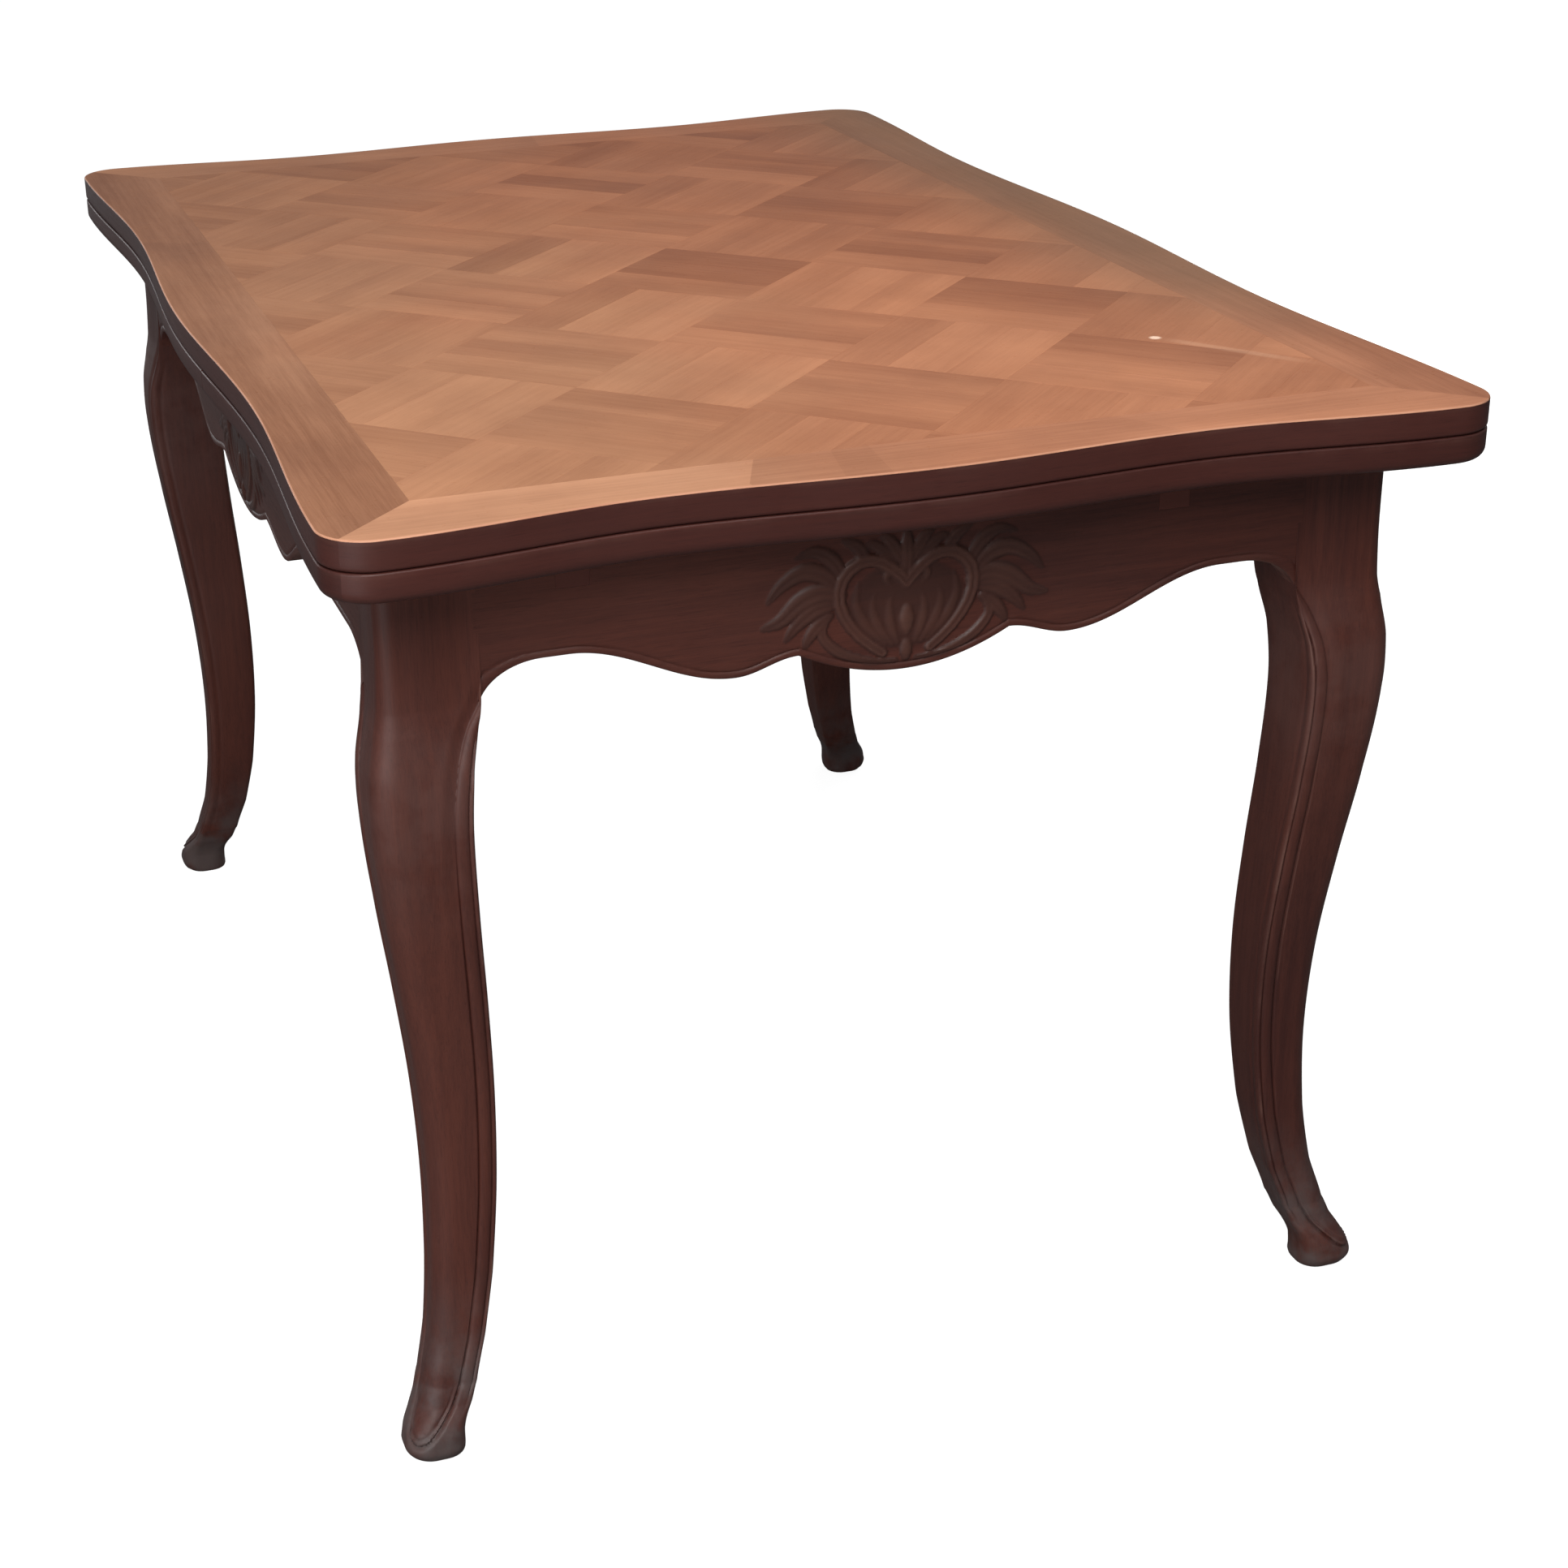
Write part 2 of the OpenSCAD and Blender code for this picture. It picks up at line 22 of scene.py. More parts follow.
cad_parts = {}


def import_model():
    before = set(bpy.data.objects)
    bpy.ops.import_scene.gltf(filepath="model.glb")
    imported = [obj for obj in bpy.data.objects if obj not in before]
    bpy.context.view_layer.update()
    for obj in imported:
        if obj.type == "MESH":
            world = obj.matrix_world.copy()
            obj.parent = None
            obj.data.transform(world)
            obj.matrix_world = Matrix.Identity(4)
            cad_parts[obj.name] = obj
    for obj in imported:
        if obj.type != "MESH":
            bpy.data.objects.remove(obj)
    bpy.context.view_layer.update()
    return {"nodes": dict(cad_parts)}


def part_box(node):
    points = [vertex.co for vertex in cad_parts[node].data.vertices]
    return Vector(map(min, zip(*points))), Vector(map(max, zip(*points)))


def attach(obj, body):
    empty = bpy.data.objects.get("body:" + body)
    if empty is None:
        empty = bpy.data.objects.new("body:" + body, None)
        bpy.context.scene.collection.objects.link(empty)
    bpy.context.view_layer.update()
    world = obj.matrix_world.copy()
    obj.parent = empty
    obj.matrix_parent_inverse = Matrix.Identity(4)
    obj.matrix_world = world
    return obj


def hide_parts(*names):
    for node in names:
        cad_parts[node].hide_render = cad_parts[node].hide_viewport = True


LOG = logging.getLogger("table")
MM = 0.001
GRAIN_MAP = "grain"
TONE = "tone"
RELIEF = "relief"
DIAGONAL = math.sqrt(0.5)
APRON_TENON = 25 * MM
SCREW_HEAD_R = 5 * MM
LOPER_PLACES = (-244 * MM, 208 * MM)
NOTCH_HALF = 12.12 * MM
Point = tuple[float, float]
Triple = tuple[float, float, float]
Faces = list[list[int]]
Array = np.ndarray
Socket = bpy.types.NodeSocket
Material = bpy.types.Material
Piece = bpy.types.Object
Tree = bpy.types.NodeTree


class Side(Enum):
    """The four sides of the top, by quarter turns from the right-hand side."""

    RIGHT = 0
    END_B = 1
    LEFT = 2
    END_A = 3

    @property
    def is_end(self) -> bool:
        """Whether this is one of the two short ends."""
        return self.value % 2 == 1


class Grain(Enum):
    """Where a wood finish takes the direction of its grain from."""

    ALONG_X = "x"
    ALONG_Y = "y"
    ALONG_Z = "z"
    MAPPED = "map"


# Sheets of veneer round the loose top: where each ends as a share of its side, and its tone.
TOP_SHEETS = {
    Side.RIGHT: ((0.36, -0.78), (0.72, -0.72), (1.0, -0.62)),
    Side.END_B: ((0.45, 0.15), (1.0, -0.15)),
    Side.LEFT: ((0.30, -0.86), (0.64, -1.02), (1.0, -1.06)),
    Side.END_A: ((0.345, 0.40), (0.42, -0.30), (0.455, -0.50), (0.70, -0.30), (1.0, -0.12)),
}
LEAF_SHEETS = {side: ((0.5, 0.1), (1.0, -0.15)) for side in Side}


def ease(t: Array | float) -> Array | float:
    """Smooth step from 0 at t = 0 to 1 at t = 1, held outside."""
    return (1 - np.cos(np.pi * np.clip(t, 0, 1))) / 2


def between(value: Array | float, span: Point) -> Array | float:
    """Smooth step from 0 at the start of a span to 1 at its end."""
    return ease((value - span[0]) / (span[1] - span[0]))


def bell(value: Array, centre: float, width: float) -> Array:
    """Bell-shaped rise of height 1 round a centre."""
    return np.exp(-(((value - centre) / width) ** 2))


def half_round(share: Array) -> Array:
    """Height of a half-round moulding of height 1, over a share of its width."""
    return np.sqrt(np.clip(1 - (2 * np.clip(share, 0, 1) - 1) ** 2, 0, 1))


def catmull(rows: Array, places: Array) -> Array:
    """Curve through rows of values.

    Args:
        rows: One row of values per station; the first value is the station's place.
        places: Where the curve is wanted, within the stations.

    Returns:
        One row of values per place.
    """
    padded = np.vstack([rows[0], rows, rows[-1]])
    index = np.clip(np.searchsorted(rows[:, 0], places, side="right") - 1, 0, len(rows) - 2)
    start, end = rows[index, 0], rows[index + 1, 0]
    t = ((places - start) / (end - start))[:, None]
    a, b, c, d = (padded[index + k] for k in range(4))
    values = 2 * b + (c - a) * t + (2 * a - 5 * b + 4 * c - d) * t**2 + (3 * b - a - 3 * c + d) * t**3
    return values / 2


def drawn(points: Sequence[Point], steps: int) -> Array:
    """Smooth curve through a few points, as rows of X and Y."""
    rows = np.column_stack([np.arange(len(points)), np.array(points, float)])
    return catmull(rows, np.linspace(0, len(points) - 1, steps + 1))[:, 1:]


def nearest(curve: Array, x: Array, y: Array) -> tuple[Array, Array, Array]:
    """Nearest place on a curve made of straight parts.

    Args:
        curve: Rows of X and Y.
        x: X of the points that look for it.
        y: Y of the same points.

    Returns:
        Distance of each point, the place from 0 to 1 along the curve that it is nearest to, and
        whether the point lies to the left of the curve there.
    """
    best = np.full(x.shape, np.inf)
    place = np.zeros(x.shape)
    left = np.zeros(x.shape, bool)
    for k, (a, b) in enumerate(zip(curve[:-1], curve[1:])):
        ab = b - a
        t = np.clip(((x - a[0]) * ab[0] + (y - a[1]) * ab[1]) / (ab @ ab), 0, 1)
        distance = np.hypot(x - a[0] - t * ab[0], y - a[1] - t * ab[1])
        nearer = distance < best
        best = np.where(nearer, distance, best)
        place = np.where(nearer, (k + t) / (len(curve) - 1), place)
        left = np.where(nearer, ab[0] * (y - a[1]) >= ab[1] * (x - a[0]), left)
    return best, place, left


def turned(points: Array, side: Side) -> Array:
    """Points drawn for the right-hand side, turned to another side.

    Args:
        points: Rows of X, Y and, where given, Z.
        side: The side to turn them to.

    Returns:
        The turned rows.
    """
    c, s = ((1, 0), (0, 1), (-1, 0), (0, -1))[side.value]
    out = np.array(points, float)
    out[:, 0] = c * points[:, 0] - s * points[:, 1]
    out[:, 1] = s * points[:, 0] + c * points[:, 1]
    return out


def loft(rings: Array) -> tuple[Array, Faces]:
    """Closed shell through rings of points, with a face over each end.

    Args:
        rings: Array of rings, points in a ring, and X, Y, Z.

    Returns:
        The vertices and the faces.
    """
    m, n = rings.shape[:2]
    faces = [
        [i * n + k, i * n + (k + 1) % n, (i + 1) * n + (k + 1) % n, (i + 1) * n + k]
        for i in range(m - 1)
        for k in range(n)
    ]
    faces.append(list(range(n))[::-1])
    faces.append([(m - 1) * n + k for k in range(n)])
    return rings.reshape(-1, 3), faces


def round_corner(centre: Point, radius: float, start: float, end: float, steps: int) -> list[Point]:
    """Points on an arc, with angles in degrees."""
    angles = np.radians(np.linspace(start, end, steps + 1))
    return [(centre[0] + radius * math.cos(a), centre[1] + radius * math.sin(a)) for a in angles]


@dataclass
class Shells:
    """Closed shells that become one piece, with a grain map and a tone for each."""

    verts: list[Array] = field(default_factory=list)
    faces: Faces = field(default_factory=list)
    maps: list[Array] = field(default_factory=list)
    tones: list[float] = field(default_factory=list)
    finishes: list[int] = field(default_factory=list)
    count: int = 0

    def add(
        self,
        verts: Array,
        faces: Faces,
        grain: Array,
        tone: float | Sequence[float] = 0.0,
        finish: int | Sequence[int] = 0,
    ) -> None:
        """Add one closed shell.

        Args:
            verts: Rows of X, Y, Z.
            faces: Corner numbers of each face, within this shell.
            grain: Place of each vertex along and across the grain, in metres.
            tone: How light this shell's wood is against the rest, about -1 to 1, or one for each face.
            finish: Number of its material, or one for each face.
        """
        self.verts.append(verts)
        self.faces.extend([[i + self.count for i in face] for face in faces])
        self.maps.append(grain)
        self.tones.extend([tone] * len(faces) if isinstance(tone, (int, float)) else tone)
        self.finishes.extend([finish] * len(faces) if isinstance(finish, int) else finish)
        self.count += len(verts)

    def piece(
        self,
        name: str,
        finishes: Sequence[Material],
        body: str,
        slot: str,
        nodes: Sequence[str],
        sharp_angle: float = 32.0,
        relief: Optional[Array] = None,
    ) -> Piece:
        """Make the piece, set it on its body and let it stand for its nodes.

        Args:
            name: Name of the piece.
            finishes: Its materials.
            body: Body that it rides on.
            slot: Not used.
            nodes: Nodes of the frame that it stands for.
            sharp_angle: Angle in degrees from which an edge stays sharp.
            relief: Height of each vertex over the ground of its carving, in metres.

        Returns:
            The new object.
        """
        mesh = bpy.data.meshes.new(name)
        mesh.from_pydata(np.vstack(self.verts).tolist(), [], self.faces)
        for material in finishes:
            mesh.materials.append(material)
        mesh.polygons.foreach_set("material_index", self.finishes)
        corners = np.zeros(len(mesh.loops), int)
        mesh.loops.foreach_get("vertex_index", corners)
        layer = mesh.uv_layers.new(name=GRAIN_MAP)
        layer.data.foreach_set("uv", np.vstack(self.maps)[corners].astype(np.float32).ravel())
        tone = mesh.attributes.new(TONE, "FLOAT", "FACE")
        tone.data.foreach_set("value", np.array(self.tones, np.float32))
        if relief is not None:
            height = mesh.attributes.new(RELIEF, "FLOAT", "POINT")
            height.data.foreach_set("value", relief.astype(np.float32))
        shaper = bmesh.new()
        shaper.from_mesh(mesh)
        bmesh.ops.recalc_face_normals(shaper, faces=shaper.faces)
        shaper.to_mesh(mesh)
        shaper.free()
        mesh.shade_smooth()
        mesh.set_sharp_from_angle(angle=math.radians(sharp_angle))
        piece = bpy.data.objects.new(name, mesh)
        bpy.context.collection.objects.link(piece)
        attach(piece, body)
        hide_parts(*nodes)
        LOG.info("%s: %d faces on %s", name, len(mesh.polygons), body)
        return piece


@dataclass(frozen=True)
class Heights:
    """Levels and half sizes of the table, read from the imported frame."""

    half_w: float
    half_l: float
    table_z: float
    top_z: float
    veneer: float
    board_z: float
    leaf_z: float
    leaf_top: float
    frame_z: float
    end_face: float
    side_face: float
    apron_t: float
    leg_in_x: float
    leg_in_y: float
    leaf_draw: float

    @classmethod
    def from_frame(cls) -> Heights:
        """Read the levels from the nodes' boxes."""
        band_low, band_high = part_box("top_banding")
        apron_low, apron_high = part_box("end_apron_a")
        side_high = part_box("side_apron_right")[1]
        leaf_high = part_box("leaf_a_banding")[1]
        return cls(
            half_w=band_high.x,
            half_l=band_high.y,
            table_z=band_high.z,
            top_z=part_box("top_core")[0].z,
            veneer=band_high.z - band_low.z,
            board_z=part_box("centre_board")[0].z,
            leaf_z=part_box("leaf_a_core")[0].z,
            leaf_top=leaf_high.z,
            frame_z=apron_high.z,
            end_face=-apron_low.y,
            side_face=side_high.x,
            apron_t=apron_high.y - apron_low.y,
            leg_in_x=apron_high.x - APRON_TENON,
            leg_in_y=side_high.y - APRON_TENON,
            leaf_draw=leaf_high.y + band_high.y,
        )


@dataclass(frozen=True)
class SideRun:
    """Points along one side of the top, from mitre to mitre, drawn for the right-hand side."""

    outer: Array
    inward: Array


@dataclass(frozen=True)
class Serpentine:
    """The wavy plan of the top: two scoops on every side and rounded corners."""

    levels: Heights
    corner_r: float = 36 * MM
    end_scoop: float = 18 * MM
    end_crown: float = 7 * MM
    side_scoop: float = 12.5 * MM
    side_crown: float = 2 * MM
    steps: int = 96
    corner_steps: int = 8

    def scoop(self, share: Array | float, is_end: bool) -> Array | float:
        """Inset of a side.

        Args:
            share: Place along the side, -1 at one corner to 1 at the other.
            is_end: Whether the side is a short end.

        Returns:
            The inset in metres.
        """
        crown = self.end_crown if is_end else self.side_crown
        depth = self.end_scoop if is_end else self.side_scoop
        place = np.minimum(np.abs(share), 1.0)
        middle = crown + (depth - crown) * ease(2 * place)
        return np.where(place < 0.5, middle, depth * (1 - ease(2 * place - 1)))

    def reach(self, side: Side) -> Point:
        """Half sizes of the top across a side and along it."""
        sizes = (self.levels.half_w, self.levels.half_l)
        return sizes[::-1] if side.is_end else sizes

    def run(self, side: Side) -> SideRun:
        """Points of a side with the halves of its two corner arcs.

        Args:
            side: Which side; the points are still drawn for the right-hand side.

        Returns:
            The run from mitre to mitre.
        """
        across, along = self.reach(side)
        cx, cy, r = across - self.corner_r, along - self.corner_r, self.corner_r
        angles = np.linspace(0, math.pi / 4, self.corner_steps + 1)
        arc = np.stack([np.cos(angles), np.sin(angles)], axis=1)
        shares = np.linspace(-1, 1, self.steps + 1)[1:-1]
        straight = np.stack([across - self.scoop(shares, side.is_end), shares * cy], axis=1)
        low = arc[::-1] * (1, -1)
        outer = np.vstack([low * r + (cx, -cy), straight, arc * r + (cx, cy)])
        inward = np.vstack([-low, np.tile((-1.0, 0.0), (len(shares), 1)), -arc])
        return SideRun(outer, inward)

    def leaf_edge(self, x: Array | float) -> Array | float:
        """Y of the inner edge of the leaf at end A, which repeats the end's curve."""
        share = np.asarray(x) / (self.levels.half_w - self.corner_r)
        return self.levels.leaf_draw - self.levels.half_l + self.scoop(share, True)


@dataclass(frozen=True)
class SectionPoint:
    """Point of an edging's or banding's section: how far in from the outline, and its height."""

    inset: float
    z: float
    on_field: bool = False


@dataclass(frozen=True)
class TopLayer:
    """Edging, banding and parquetry of one layer: the loose top, or one of the leaves."""

    name: str
    body: str
    plan: Serpentine
    under: float
    upper: float
    edging_w: float = 25 * MM
    banding_w: float = 70 * MM
    bottom_round: float = 3.2 * MM
    round_steps: int = 6
    nose: float = 1.5 * MM
    margin: float = 4.0 * MM
    support: float = 2.0 * MM
    cut_space: float = 2.5 * MM
    edging_tone: float = 0.15
    stained_from: int = 8
    # First face of the pale arris: rubbed, with a painted highlight.
    pale_from: int = 4
    is_leaf: bool = False
    half_turn: bool = False

    @property
    def veneer_z(self) -> float:
        """Height of the veneer's underside."""
        return self.upper - self.plan.levels.veneer

    def edging_section(self) -> list[SectionPoint]:
        """Section of the edging, as a closed loop."""
        low, high, r, hold = self.under, self.veneer_z, self.bottom_round, self.support
        points: list[Point] = [(self.edging_w, low), (self.edging_w, high), (0.0, high), (0.0, high - hold)]
        if high - low > r + 2 * hold:
            points.append((0.0, low + r + hold))
        points += round_corner((r, low + r), r, 180, 270, self.round_steps)
        return [SectionPoint(inset, z) for inset, z in points]

    def banding_section(self) -> list[SectionPoint]:
        """Section of the banding, as a closed loop that starts at the field."""
        low, high, r = self.veneer_z, self.upper, self.nose
        arris = round_corner((r, high - r), r, 90, 180, self.round_steps)
        points = [(r + self.margin, high), *arris, (0.0, low)]
        field_side = [SectionPoint(0.0, low, True), SectionPoint(0.0, high, True)]
        return field_side + [SectionPoint(inset, z) for inset, z in points]

    def leaf_cut(self, run: SideRun) -> SideRun:
        """The part of a right-hand run that belongs to the leaf at end A.

        Args:
            run: The whole side.

        Returns:
            The run up to the leaf's inner edge.
        """
        end = float(self.plan.leaf_edge(self.plan.levels.half_w))
        keep = run.outer[:, 1] < end - self.cut_space
        last = [[float(np.interp(end, run.outer[:, 1], run.outer[:, 0])), end]]
        return SideRun(np.vstack([run.outer[keep], last]), np.vstack([run.inward[keep], [(-1.0, 0.0)]]))

    def sides(self) -> list[tuple[Side, bool]]:
        """The sides that the layer has, and whether each is mirrored from the right."""
        if self.is_leaf:
            return [(Side.END_A, False), (Side.RIGHT, False), (Side.RIGHT, True)]
        return [(side, False) for side in Side]

    def placed(self, rings: Array, side: Side, mirrored: bool) -> Array:
        """Turn rings to their side, and to the other end for the second leaf.

        Args:
            rings: Rings drawn for the right-hand side.
            side: The side that they belong to.
            mirrored: Whether they stand on the left instead.

        Returns:
            The rings in their place.
        """
        flat = turned(rings.reshape(-1, 3), side)
        if mirrored:
            flat[:, 0] *= -1
        if self.half_turn:
            flat = turned(flat, Side.LEFT)
        return flat.reshape(rings.shape)

    def side_rings(self, side: Side, section: Sequence[SectionPoint]) -> tuple[Array, Array]:
        """Rings of a section that follows one side, cut at the leaf's inner edge.

        Args:
            side: Which side; the rings are still drawn for the right-hand side.
            section: The section's points.

        Returns:
            Place of each ring along the side, and an array of rings, section points and X, Y, Z.
        """
        across, along = self.plan.reach(side)
        run = self.plan.run(side)
        shrink = (along - self.banding_w) / abs(run.outer[0, 1])
        cut = self.is_leaf and side is Side.RIGHT
        if cut:
            run = self.leaf_cut(run)
        rings = np.zeros((len(run.outer), len(section), 3))
        for k, point in enumerate(section):
            rings[:, k, :2] = run.outer + run.inward * point.inset
            if point.on_field:
                rings[:, k, 0] = across - self.banding_w
                rings[:, k, 1] = run.outer[:, 1] * shrink
            rings[:, k, 2] = point.z
        if cut:
            rings[-1, :, 1] = self.plan.leaf_edge(rings[-1, :, 0])
        return run.outer[:, 1], rings

    def build_edging(self, finish: Material, nodes: Sequence[str]) -> Piece:
        """Solid edging in mitred pieces round the core.

        Args:
            finish: Its material.
            nodes: Nodes that it stands for.

        Returns:
            The new object.
        """
        shells = Shells()
        section = self.edging_section()
        places = np.array([(point.inset, point.z) for point in section])
        girth = np.concatenate([[0], np.cumsum(np.hypot(*np.diff(places, axis=0).T))])
        for number, (side, mirrored) in enumerate(self.sides()):
            along, rings = self.side_rings(side, section)
            verts, faces = loft(self.placed(rings, side, mirrored))
            grain = np.stack([np.repeat(along + number, len(section)), np.tile(girth, len(along))], axis=1)
            shells.add(verts, faces, grain, self.edging_tone * math.sin(1.7 * number + self.under))
        return shells.piece(f"{self.name}_edging_shaped", [finish], self.body, "dark_wood", nodes)

    def section_finish(self, face: int, count: int, side: Side) -> int:
        """Number of the finish of one face round the banding's section.

        Args:
            face: Number of the face, from the banding's inner edge over its top and down.
            count: How many faces the section has.
            side: The side of the top; the arris is rubbed pale, with a painted highlight, on the near ones
                only.

        Returns:
            0 for the veneer, 1 for the stained edge and 2 for the rubbed arris with its painted highlight.
        """
        if self.stained_from <= face < count - 1:
            return 1
        # Pale near arris: rubbed veneer edge with a painted highlight.
        pale = side in (Side.END_A, Side.LEFT) and self.pale_from <= face < self.stained_from
        return 2 if pale else 0

    @staticmethod
    def sheet_tones(sheets: Sequence[Point], rows: int, count: int) -> list[float]:
        """Tone of each face along a side's banding.

        Args:
            sheets: Where each sheet of veneer ends as a share of the side, and its tone.
            rows: How many rows of faces the side has.
            count: How many faces go round the section.

        Returns:
            One tone for each face, and one for each of the two end faces.
        """
        ends = [(max(1, round(share * rows)), tone) for share, tone in sheets]
        along = [next(tone for end, tone in ends if row < end) for row in range(rows)]
        return [tone for tone in along for _ in range(count)] + [along[0], along[-1]]

    def build_banding(
        self,
        finishes: Sequence[Material],
        nodes: Sequence[str],
        sheets: dict[Side, Sequence[Point]],
    ) -> Piece:
        """Mitred banding whose sheets of veneer differ in tone, with a rounded outer arris.

        Args:
            finishes: Material of its face, of its stained outer edge and of its rubbed arris with its painted
                highlight.
            nodes: Nodes that it stands for.
            sheets: For each side, where each sheet ends as a share of the side, and its tone.

        Returns:
            The new object.
        """
        shells = Shells()
        section = self.banding_section()
        count = len(section)
        for number, (side, mirrored) in enumerate(self.sides()):
            rings = self.side_rings(side, section)[1]
            verts, faces = loft(self.placed(rings, side, mirrored))
            flat = rings.reshape(-1, 3)
            grain = np.stack([flat[:, 1] + 3 * number, flat[:, 0]], axis=1)
            around = [self.section_finish(k % count, count, side) for k in range(len(faces) - 2)]
            tones = self.sheet_tones(sheets[side], len(rings) - 1, count)
            shells.add(verts, faces, grain, tones, around + [0, 0])
        return shells.piece(f"{self.name}_banding_shaped", finishes, self.body, "parquet_banding", nodes)


@dataclass(frozen=True)
class BasketWeave:
    """Parquetry of square blocks set diagonally, each of three strips, turned by turns."""

    layer: TopLayer
    period: float = 200 * MM
    start: Point = (120 * MM, 160 * MM)
    strips: int = 3
    chamfer: float = 0.12 * MM
    curve_step: float = 8 * MM
    least_turn: float = 0.4
    spare: float = 1.0
    seed: int = 11
    tones_one_way: Triple = (0.35, -0.75, -0.65)
    tones_other_way: Triple = (-0.30, 0.55, 0.60)
    block_spread: float = 0.42
    strip_spread: float = 0.24
    tone_limit: float = 1.2
    grain_shift: float = 9.0

    @property
    def block(self) -> float:
        """Side of a block."""
        return self.period / math.sqrt(2)

    def world(self, u: float, v: float) -> Point:
        """Plan place of a point given in blocks along the two diagonals."""
        k = self.block / math.sqrt(2)
        return (self.start[0] + (u + v) * k, self.start[1] + (u - v) * k)

    def limits(self) -> list[tuple[int, float, bool]]:
        """The field's four straight edges: axis, place, and whether the field lies below it."""
        levels, w = self.layer.plan.levels, self.layer.banding_w
        side, near, far = levels.half_w - w, w - levels.half_l, levels.half_l - w
        if self.layer.is_leaf:
            far = levels.leaf_draw - levels.half_l + self.layer.plan.end_scoop
        return [(0, -side, False), (0, side, True), (1, near, False), (1, far, True)]

    @staticmethod
    def clip(polygon: list[Point], axis: int, limit: float, keep_below: bool) -> list[Point]:
        """Part of a convex polygon on one side of a line across an axis.

        Args:
            polygon: Corners in order.
            axis: 0 for a limit in X, 1 for one in Y.
            limit: Place of the line.
            keep_below: Whether the part below the line stays.

        Returns:
            Corners of the part that stays.
        """
        sign = 1 if keep_below else -1
        out: list[Point] = []
        for a, b in zip(polygon, polygon[1:] + polygon[:1]):
            da, db = sign * (limit - a[axis]), sign * (limit - b[axis])
            if da >= 0:
                out.append(a)
            if da * db < 0:
                t = da / (da - db)
                out.append((a[0] + (b[0] - a[0]) * t, a[1] + (b[1] - a[1]) * t))
        return out

    def clip_to_edge(self, polygon: list[Point]) -> list[Point]:
        """Part of a polygon on the near side of the leaf's curved inner edge.

        Args:
            polygon: Corners in order.

        Returns:
            Corners of the part that stays, with points along the curve.
        """
        edge = self.layer.plan.leaf_edge
        dense: list[Point] = []
        for a, b in zip(polygon, polygon[1:] + polygon[:1]):
            steps = max(1, int(math.dist(a, b) / self.curve_step))
            shares = [i / steps for i in range(steps)]
            dense += [(a[0] + (b[0] - a[0]) * t, a[1] + (b[1] - a[1]) * t) for t in shares]
        inside = [p[1] <= float(edge(p[0])) for p in dense]
        if all(inside):
            return polygon
        if not any(inside):
            return []
        first = next(i for i in range(len(dense)) if inside[i] and not inside[i - 1])
        turns = [(first + i) % len(dense) for i in range(len(dense))]
        kept = [dense[i] for i in turns if inside[i]]
        x0, x1 = kept[-1][0], kept[0][0]
        steps = max(1, int(abs(x1 - x0) / self.curve_step))
        return kept + [(x, float(edge(x))) for x in np.linspace(x0, x1, steps + 1)]

    def strip(self, i: int, j: int, number: int) -> list[Point]:
        """Corners of one strip, cut to the field.

        Args:
            i: Number of its block along the first diagonal.
            j: Number of its block along the second diagonal.
            number: Number of the strip in the block.

        Returns:
            Its corners in plan, or none where it lies outside the field.
        """
        low, high = number / self.strips, (number + 1) / self.strips
        corners = [(low, 0), (high, 0), (high, 1), (low, 1)]
        if (i + j) % 2:
            corners = [(0, low), (1, low), (1, high), (0, high)]
        polygon = [self.world(i + a, j + b) for a, b in corners]
        for axis, limit, below in self.limits():
            polygon = self.clip(polygon, axis, limit, below)
        return self.clip_to_edge(polygon) if self.layer.is_leaf and polygon else polygon

    def prism(self, polygon: list[Point]) -> Optional[tuple[Array, Faces]]:
        """Thin closed prism with a fine chamfer round its upper face.

        Args:
            polygon: Plan of the strip.

        Returns:
            Vertices and faces, or None where nothing of the strip is left.
        """
        points = [p for k, p in enumerate(polygon) if math.dist(p, polygon[k - 1]) > self.chamfer]
        if len(points) < 3:
            return None
        ring = np.array(points)
        ahead = np.roll(ring, -1, axis=0) - ring
        area = 0.5 * np.sum(ring[:, 0] * np.roll(ring[:, 1], -1) - ring[:, 1] * np.roll(ring[:, 0], -1))
        length = np.hypot(*ahead.T)
        if abs(area) < self.chamfer * length.sum():
            return None
        normal = np.stack([-ahead[:, 1], ahead[:, 0]], axis=1) / length[:, None] * np.sign(area)
        bisector = normal + np.roll(normal, 1, axis=0)
        scale = np.maximum((bisector * normal).sum(axis=1), self.least_turn)
        inner = ring + bisector / scale[:, None] * self.chamfer
        high = self.layer.upper
        rings = [(ring, self.layer.veneer_z), (ring, high - self.chamfer), (inner, high)]
        return loft(np.stack([np.column_stack([plan, np.full(len(plan), z)]) for plan, z in rings]))

